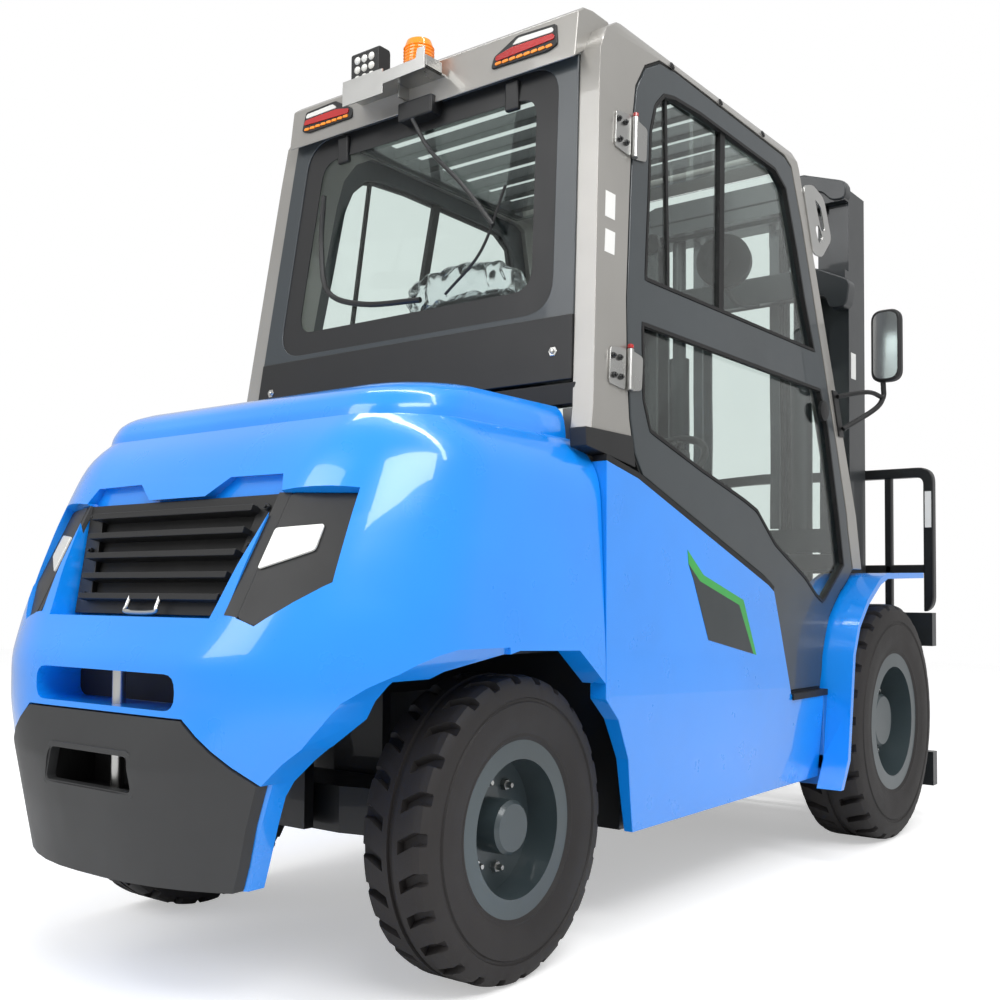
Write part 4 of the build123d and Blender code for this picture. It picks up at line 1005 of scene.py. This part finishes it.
@dataclass
class Interior:
    """What shows through the glass: the seat in its clear cover, fan, mirror, levers and arm rest."""

    def build(self) -> None:
        """Build and dress the pieces inside the cab."""
        cushion = padded_form((905, 0, 1132), (290, 232, 50), -0.03, 0.42)
        cushion.dress("seat_pad", SEAT, "seat_cushion")
        back = padded_form((622, 0, 1440), (52, 225, 272), -0.13, 0.45)
        back.dress("seat_back_pad", SEAT, "seat_back")
        cover = padded_form((622, 0, 1446), (62, 232, 282), -0.13, 0.5, 2.2, 72)
        hump = padded_form((600, 30, 1716), (85, 205, 100), -0.2, 0.72, 5.0, 72)
        cover.join(hump).dress("seat_clear_cover", FILM)
        rest = slab(
            SIDE, rounded([(760, 1222), (1150, 1222), (1190, 1262), (1190, 1300), (760, 1300)], 20), -398,
            -292)
        rest.dress("arm_rest", BLACK, bevel=12)
        boots = [
            turned((1140, -385 + 26 * k, 1210), (0, 0, 1), [(0, 12), (18, 9), (24, 11), (40, 7)], 14)
            for k in range(4)]
        knobs = [
            turned((1140, -385 + 26 * k, 1296), (0, 0, 1), [(0, 6), (6, 11), (22, 11), (28, 4)], 14)
            for k in range(4)]
        fused(*boots, *knobs).dress("lever_knobs", BLACK)
        centre, axis = (1560.0, -330.0, 1990.0), (1, 0.3, 0)
        rings = [turned(centre, axis, [(-20, r - 3), (-20, r), (20, r), (20, r - 3)], 32)
                 for r in (92, 62, 32)]
        motor = turned(centre, axis, [(-26, 26), (26, 26)], 24)
        arm = tube([(1560, -330, 1900), (1600, -360, 1850), (1640, -420, 1840)], 8)
        fused(*rings, motor, arm).dress("cab_fan", BLACK)
        glass = slab(CROSS, rounded(even((130, 2040), (120, 2110)), 25), 1470, 1492)
        glass.join(tube([(1480, 0, 2105), (1500, 0, 2200), (1520, 0, 2286)], 6))
        glass.dress("inside_mirror", BLACK, bevel=5)


@dataclass
class Wheel:
    """One wheel's tyre with its lugs, and the nuts, cap and ring of its rim.

    The tyre is a grid: around it each lug pitch has eight columns, of which three lie in the
    groove, and the columns lean with the distance from the middle so that the groove walls stay
    sharp. The radius is the plain profile, held down to the groove's floor inside a groove.
    """

    end: str
    hand: str
    x: float
    radius: float
    outer: float
    width: float
    rim_radius: float
    flange: float
    lugs: int
    stud_ring: float
    studs: int
    disc: float
    groove: float = 19.0

    def profile(self) -> np.ndarray:
        """Return (distance from the middle, radius) points from one bead over the tread to the other."""
        half, flange, top = self.width / 2, self.flange, self.radius
        bulge = np.array([
            (8, 0.06), (9, 0.10), (2, 0.24), (0, 0.42), (1, 0.58), (5, 0.60), (5, 0.64), (1, 0.66),
            (4, 0.80), (9, 0.90), (18, 0.965)])
        bead = [(half - 30, self.rim_radius), (half - 30, flange), (half - 14, flange)]
        side = np.stack([half - bulge[:, 0], flange + bulge[:, 1] * (top - flange)], -1)
        tread = [(share * self.width, top) for share in (0.30, 0.18, 0.12, 0.115, 0.04, 0.035)]
        right = np.vstack([bead, side, [(half - 30, top - 1.5)], tread])
        left = right[::-1] * (-1, 1)
        return np.vstack([right, left])

    def tyre(self) -> Solid:
        """Return the tyre as one closed grid."""
        line = self.profile()
        t, r = line[:, 0], line[:, 1]
        places = np.array([0.0, 0.05, 0.29, 0.34, 0.48, 0.63, 0.80, 0.94])
        pitch = 2 * np.pi / self.lugs
        u = (np.arange(self.lugs)[:, None] + places[None]).ravel() * pitch
        in_groove = np.tile((places > 0.04) & (places < 0.30), self.lugs)
        reach = np.abs(t) / (self.width / 2)
        lean = 0.42 * pitch * np.clip(1 - reach / 0.66, 0, 1) + np.where(t > 0, 0.5 * pitch, 0)
        angle = u[None, :] + lean[:, None]
        floor = self.radius - self.groove
        crossing = (np.abs(t) > 0.117 * self.width)[:, None] & in_groove[None, :]
        radius = np.where(crossing, np.minimum(r[:, None], floor), r[:, None])
        middle = (np.abs(t) < 0.037 * self.width)[:, None]
        radius = np.where(middle, self.radius - 7, radius)
        centre = -(self.outer - self.width / 2)
        points = np.stack(
            [self.x + radius * np.cos(angle), centre - t[:, None] + 0 * radius,
             self.radius + radius * np.sin(angle)], -1)
        count = points.shape[1]
        return Solid.of(points, quads(len(line), count, True).tolist())

    def build(self) -> None:
        """Build and dress the tyre and the rim's small parts."""
        name, body = f"{self.end}_tyre_{self.hand}", f"{self.end}_wheel_{self.hand}"
        sided(self.tyre(), self.hand).dress(f"{name}_lugged", RUBBER, name, body=body, smooth=28)
        angle = np.linspace(0, 2 * np.pi, self.studs, endpoint=False) + 0.2
        face = -(self.outer - self.disc)
        places = np.stack(
            [self.x + self.stud_ring * np.cos(angle), np.full(self.studs, face),
             self.radius + self.stud_ring * np.sin(angle)], -1)
        sided(nuts(places, (0, -1, 0), 14, 20), self.hand).dress(f"{name}_nuts", BRIGHT, body=body)
        plain = turned(
            (self.x, face, self.radius), (0, -1, 0), [(-0.5, self.rim_radius - 16),
            (-0.5, self.rim_radius - 4), (9, self.rim_radius - 8), (9, self.rim_radius - 16)], 64)
        hub = self.stud_ring * 0.6
        plain.join(
            turned((self.x, face, self.radius), (0, -1, 0), [(0, hub + 8), (4, hub + 8), (8, hub),
            (34, hub - 4), (40, hub - 12), (40, 4)], 48))
        sided(plain, self.hand).dress(f"{name}_rings", RIM, body=body, bevel=2)


@dataclass
class LoadEnd:
    """Mast dressing, chains' links, backrest and the marks on them."""

    chain_y: float = 170.0
    pitch: float = 32.0

    def build(self) -> None:
        """Build and dress the load end's pieces."""
        self.chains()
        self.backrest()
        hoses = [
            tube([(2300, y, 1100), (2296, y + 2, 1700), (2300, y + 4, 2280), (2330, y + 10, 2350)], 9)
            for y in (-250, -225)]
        fused(*hoses).dress("mast_hoses", SEAL_AND_SHADE, body="mast")
        brick((2330, 2380), (-491.2, -490.2), (1690, 1790)).dress("mast_label", WHITE, body="mast")
        cap = slab(
            CROSS, rounded(even((330, 2499), (498, 2440), (498, 2372), (440, 2372), (400, 2420)), 26), 2262,
            2318)
        cap.dress("mast_top_arch", MAST, body="mast", bevel=6)
        lower = slab(
            CROSS, rounded(even((380, 2120), (520, 2050), (506, 1950), (440, 1950), (420, 2010)), 26), 2240,
            2308)
        lower.dress("mast_middle_arch", MAST, body="mast", bevel=6)

    def chains(self) -> None:
        """Build the chain links: plates in rows of two and three, repeated at each pitch."""
        z = np.arange(760.0, 2270.0, self.pitch / 2)
        odd = (np.arange(len(z)) % 2).astype(float)
        offsets = np.array([-17.0, -8.0, 0.0, 8.0, 17.0])
        corner = np.array([(x, y, z) for z in (-15, 15) for x, y in rect(-5, 5, -1.7, 1.7)])
        face = np.array([
            (0, 3, 2, 1), (4, 5, 6, 7), (0, 1, 5, 4), (1, 2, 6, 5), (2, 3, 7, 6), (3, 0, 4, 7)])
        centre = np.stack(
            [np.full((len(z), 5), 2441.0 - 6), offsets[None] - self.chain_y + 3.6 * (odd[:, None] - 0.5),
            np.broadcast_to(z[:, None], (len(z), 5))], -1).reshape(-1, 3)
        points = (centre[:, None] + corner[None]).reshape(-1, 3)
        faces = (np.arange(len(centre))[:, None, None] * 8 + face[None]).reshape(-1, 4)
        Solid.of(points, faces.tolist()).twin().dress("chain_links", GREY, body="inner_mast")

    def backrest(self) -> None:
        """Build the load backrest with its posts, the rail across and the white tape."""
        back, front, half, tube_wide = 2556.0, 2594.0, 725.0, 38.0
        shape = slab(CROSS, rounded(rect(-half, half, 791, 1355), 60, 8), back, front)
        shape.cut(
            slab(CROSS, rounded(rect(tube_wide - half, half - tube_wide, 700, 1317), 30, 8), back - 20,
            front + 20))
        posts = [
            brick((back + 4, front - 4), (side * share * half - 14, side * share * half + 14), (791, 1330))
            for share in (0.2, 0.5, 0.76) for side in (-1, 1)]
        shape.join(*posts, brick((back + 4, front - 4), (-half + 10, half - 10), (944, 976)))
        shape.dress("load_backrest", STEEL, "backrest", body="carriage", slot="black_steel", bevel=5)
        tape = brick((back - 0.8, back - 0.1), (-718, -694), (1120, 1260))
        tape.dress("backrest_tape", WHITE, body="carriage")


@dataclass
class Studio:
    """Floor, pale surroundings, lamps and the camera of the photograph."""

    yaw: float = 38.414
    pitch: float = 2.151
    roll: float = 0.430
    spot: Triple = (-3.6075, -2.093, 0.843)
    lens: float = 1166.14 / 1000 * 36.0
    shift: tuple[float, float] = (0.03756, 0.05173)

    def build(self) -> None:
        """Make the camera, the lamps, the floor and the surroundings."""
        self.camera()
        self.surroundings()
        self.floor()
        self.lamp("key_panel", (-4.0, -5.2, 6.2), (0.0, 0.0, 1.0), (5.0, 2.0), 260.0)
        self.lamp("rear_panel_light", (-6.0, 1.5, 4.6), (-1.0, 0.0, 0.9), (3.0, 3.0), 110.0)
        self.lamp("strip_one", (-1.2, -0.6, 5.8), (-1.2, -0.6, 0.0), (0.35, 6.0), 70.0)
        self.lamp("strip_two", (-1.2, -2.6, 5.8), (-1.2, -1.0, 0.0), (0.35, 6.0), 70.0)

    def camera(self) -> None:
        """Make the camera from the turn, tilt and lean found for the photograph."""
        yaw, pitch, roll = (math.radians(value) for value in (self.yaw, self.pitch, self.roll))
        forward = Vector((
            math.cos(yaw) * math.cos(pitch), math.sin(yaw) * math.cos(pitch), math.sin(pitch)))
        right = Vector((math.sin(yaw), -math.cos(yaw), 0.0))
        above = right.cross(forward)
        across = right * math.cos(roll) + above * math.sin(roll)
        over = above * math.cos(roll) - right * math.sin(roll)
        data = bpy.data.cameras.new("photo_camera")
        data.sensor_width, data.lens = 36.0, self.lens
        data.shift_x, data.shift_y = self.shift
        camera = bpy.data.objects.new("photo_camera", data)
        bpy.context.scene.collection.objects.link(camera)
        turn = Matrix((across, over, -forward)).transposed().to_4x4()
        camera.matrix_world = Matrix.Translation(self.spot) @ turn
        bpy.context.scene.camera = camera

    def surroundings(self) -> None:
        """Make pale light all round, and white where the camera looks or a ray has passed through glass."""
        world = bpy.context.scene.world or bpy.data.worlds.new("surroundings")
        bpy.context.scene.world = world
        world.use_nodes = True
        tree = world.node_tree
        back = tree.nodes["Background"]
        path = tree.nodes.new("ShaderNodeLightPath")
        either = tree.nodes.new("ShaderNodeMath")
        either.operation = "MAXIMUM"
        tree.links.new(path.outputs["Is Camera Ray"], either.inputs[0])
        tree.links.new(path.outputs["Is Transmission Ray"], either.inputs[1])
        level = tree.nodes.new("ShaderNodeMapRange")
        fill(level, {"To Min": 0.62, "To Max": 1.0})
        tree.links.new(either.outputs[0], level.inputs["Value"])
        tree.links.new(level.outputs["Result"], back.inputs["Strength"])
        back.inputs["Color"].default_value = (1, 1, 1, 1)
        bpy.context.scene.view_settings.view_transform = "Standard"

    def floor(self) -> None:
        """Make the plain pale floor, white to the camera where no shadow falls."""
        side = 14000.0
        corners = [(x, y, 0) for x, y in rect(-side, side, -side, side)]
        ground = Solid.of(np.array(corners), [[0, 1, 2, 3]])
        ground.piece.name = "studio_floor"
        made = bpy.data.materials.new("studio_floor")
        made.use_nodes = True
        tree = made.node_tree
        shader = tree.nodes["Principled BSDF"]
        fill(
            shader, {"Base Color": (0.86, 0.86, 0.86, 1), "Roughness": 0.8, "Emission Color": (1, 1, 1, 1)})
        path = tree.nodes.new("ShaderNodeLightPath")
        level = tree.nodes.new("ShaderNodeMath")
        level.operation = "MULTIPLY"
        level.inputs[1].default_value = 0.42
        tree.links.new(path.outputs["Is Camera Ray"], level.inputs[0])
        tree.links.new(level.outputs[0], shader.inputs["Emission Strength"])
        ground.piece.data.materials.append(made)

    def lamp(
            self, name: str, place: Triple, target: Triple, size: tuple[float, float],
            power: float) -> None:
        """Make one soft panel lamp that faces a target."""
        data = bpy.data.lights.new(name, "AREA")
        data.shape, data.size, data.size_y, data.energy = "RECTANGLE", size[0], size[1], power
        lamp = bpy.data.objects.new(name, data)
        lamp.location = place
        lamp.rotation_euler = (Vector(target) - Vector(place)).to_track_quat("-Z", "Y").to_euler()
        bpy.context.scene.collection.objects.link(lamp)


@dataclass
class PackedNodes:
    """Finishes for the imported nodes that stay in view."""

    finishes: dict = field(
        default_factory=lambda: {"tow_pin": BRIGHT, "steering_wheel": BLACK, "mast_outer": MAST,
        "mast_inner": MAST, "lift_cylinders": MAST, "lift_chains": GREY, "carriage": MAST, "forks": MAST,
        "tilt_barrels": MAST, "tilt_rods": CHROME, "rear_rim": RIM, "front_rim": RIM, "dashboard": BLACK,
        "seat_base": BLACK, "lever_console": BLACK})

    def build(self) -> None:
        """Give each node its finish through its own material slots."""
        for name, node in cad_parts.items():
            finish = self.finishes.get(name.removesuffix("_left").removesuffix("_right"), STEEL)
            node.data.materials.clear()
            node.data.materials.append(finish.material())
            LOG.info("%s takes %s", name, finish.name)


def main() -> None:
    """Build the studio, then the truck from the rear to the forks."""
    logging.basicConfig(level=logging.INFO, format="%(name)s: %(message)s")
    Studio().build()
    PackedNodes().build()
    cab = Cab()
    for assembly in (
            RearBody(), SideBody(), cab, Door(cab, "right"), Door(cab, "left"), Interior(), LoadEnd()):
        assembly.build()
        LOG.info("%s done", type(assembly).__name__)
    for hand in ("right", "left"):
        Wheel(
            "rear", hand, x=0, radius=335, outer=612, width=185, rim_radius=165, flange=193, lugs=26,
            stud_ring=98, studs=8, disc=105).build()
        Wheel(
            "front", hand, x=WHEELBASE, radius=412, outer=735, width=230, rim_radius=205, flange=238,
            lugs=28, stud_ring=132, studs=10, disc=125).build()


if __name__ == "__main__":
    main()
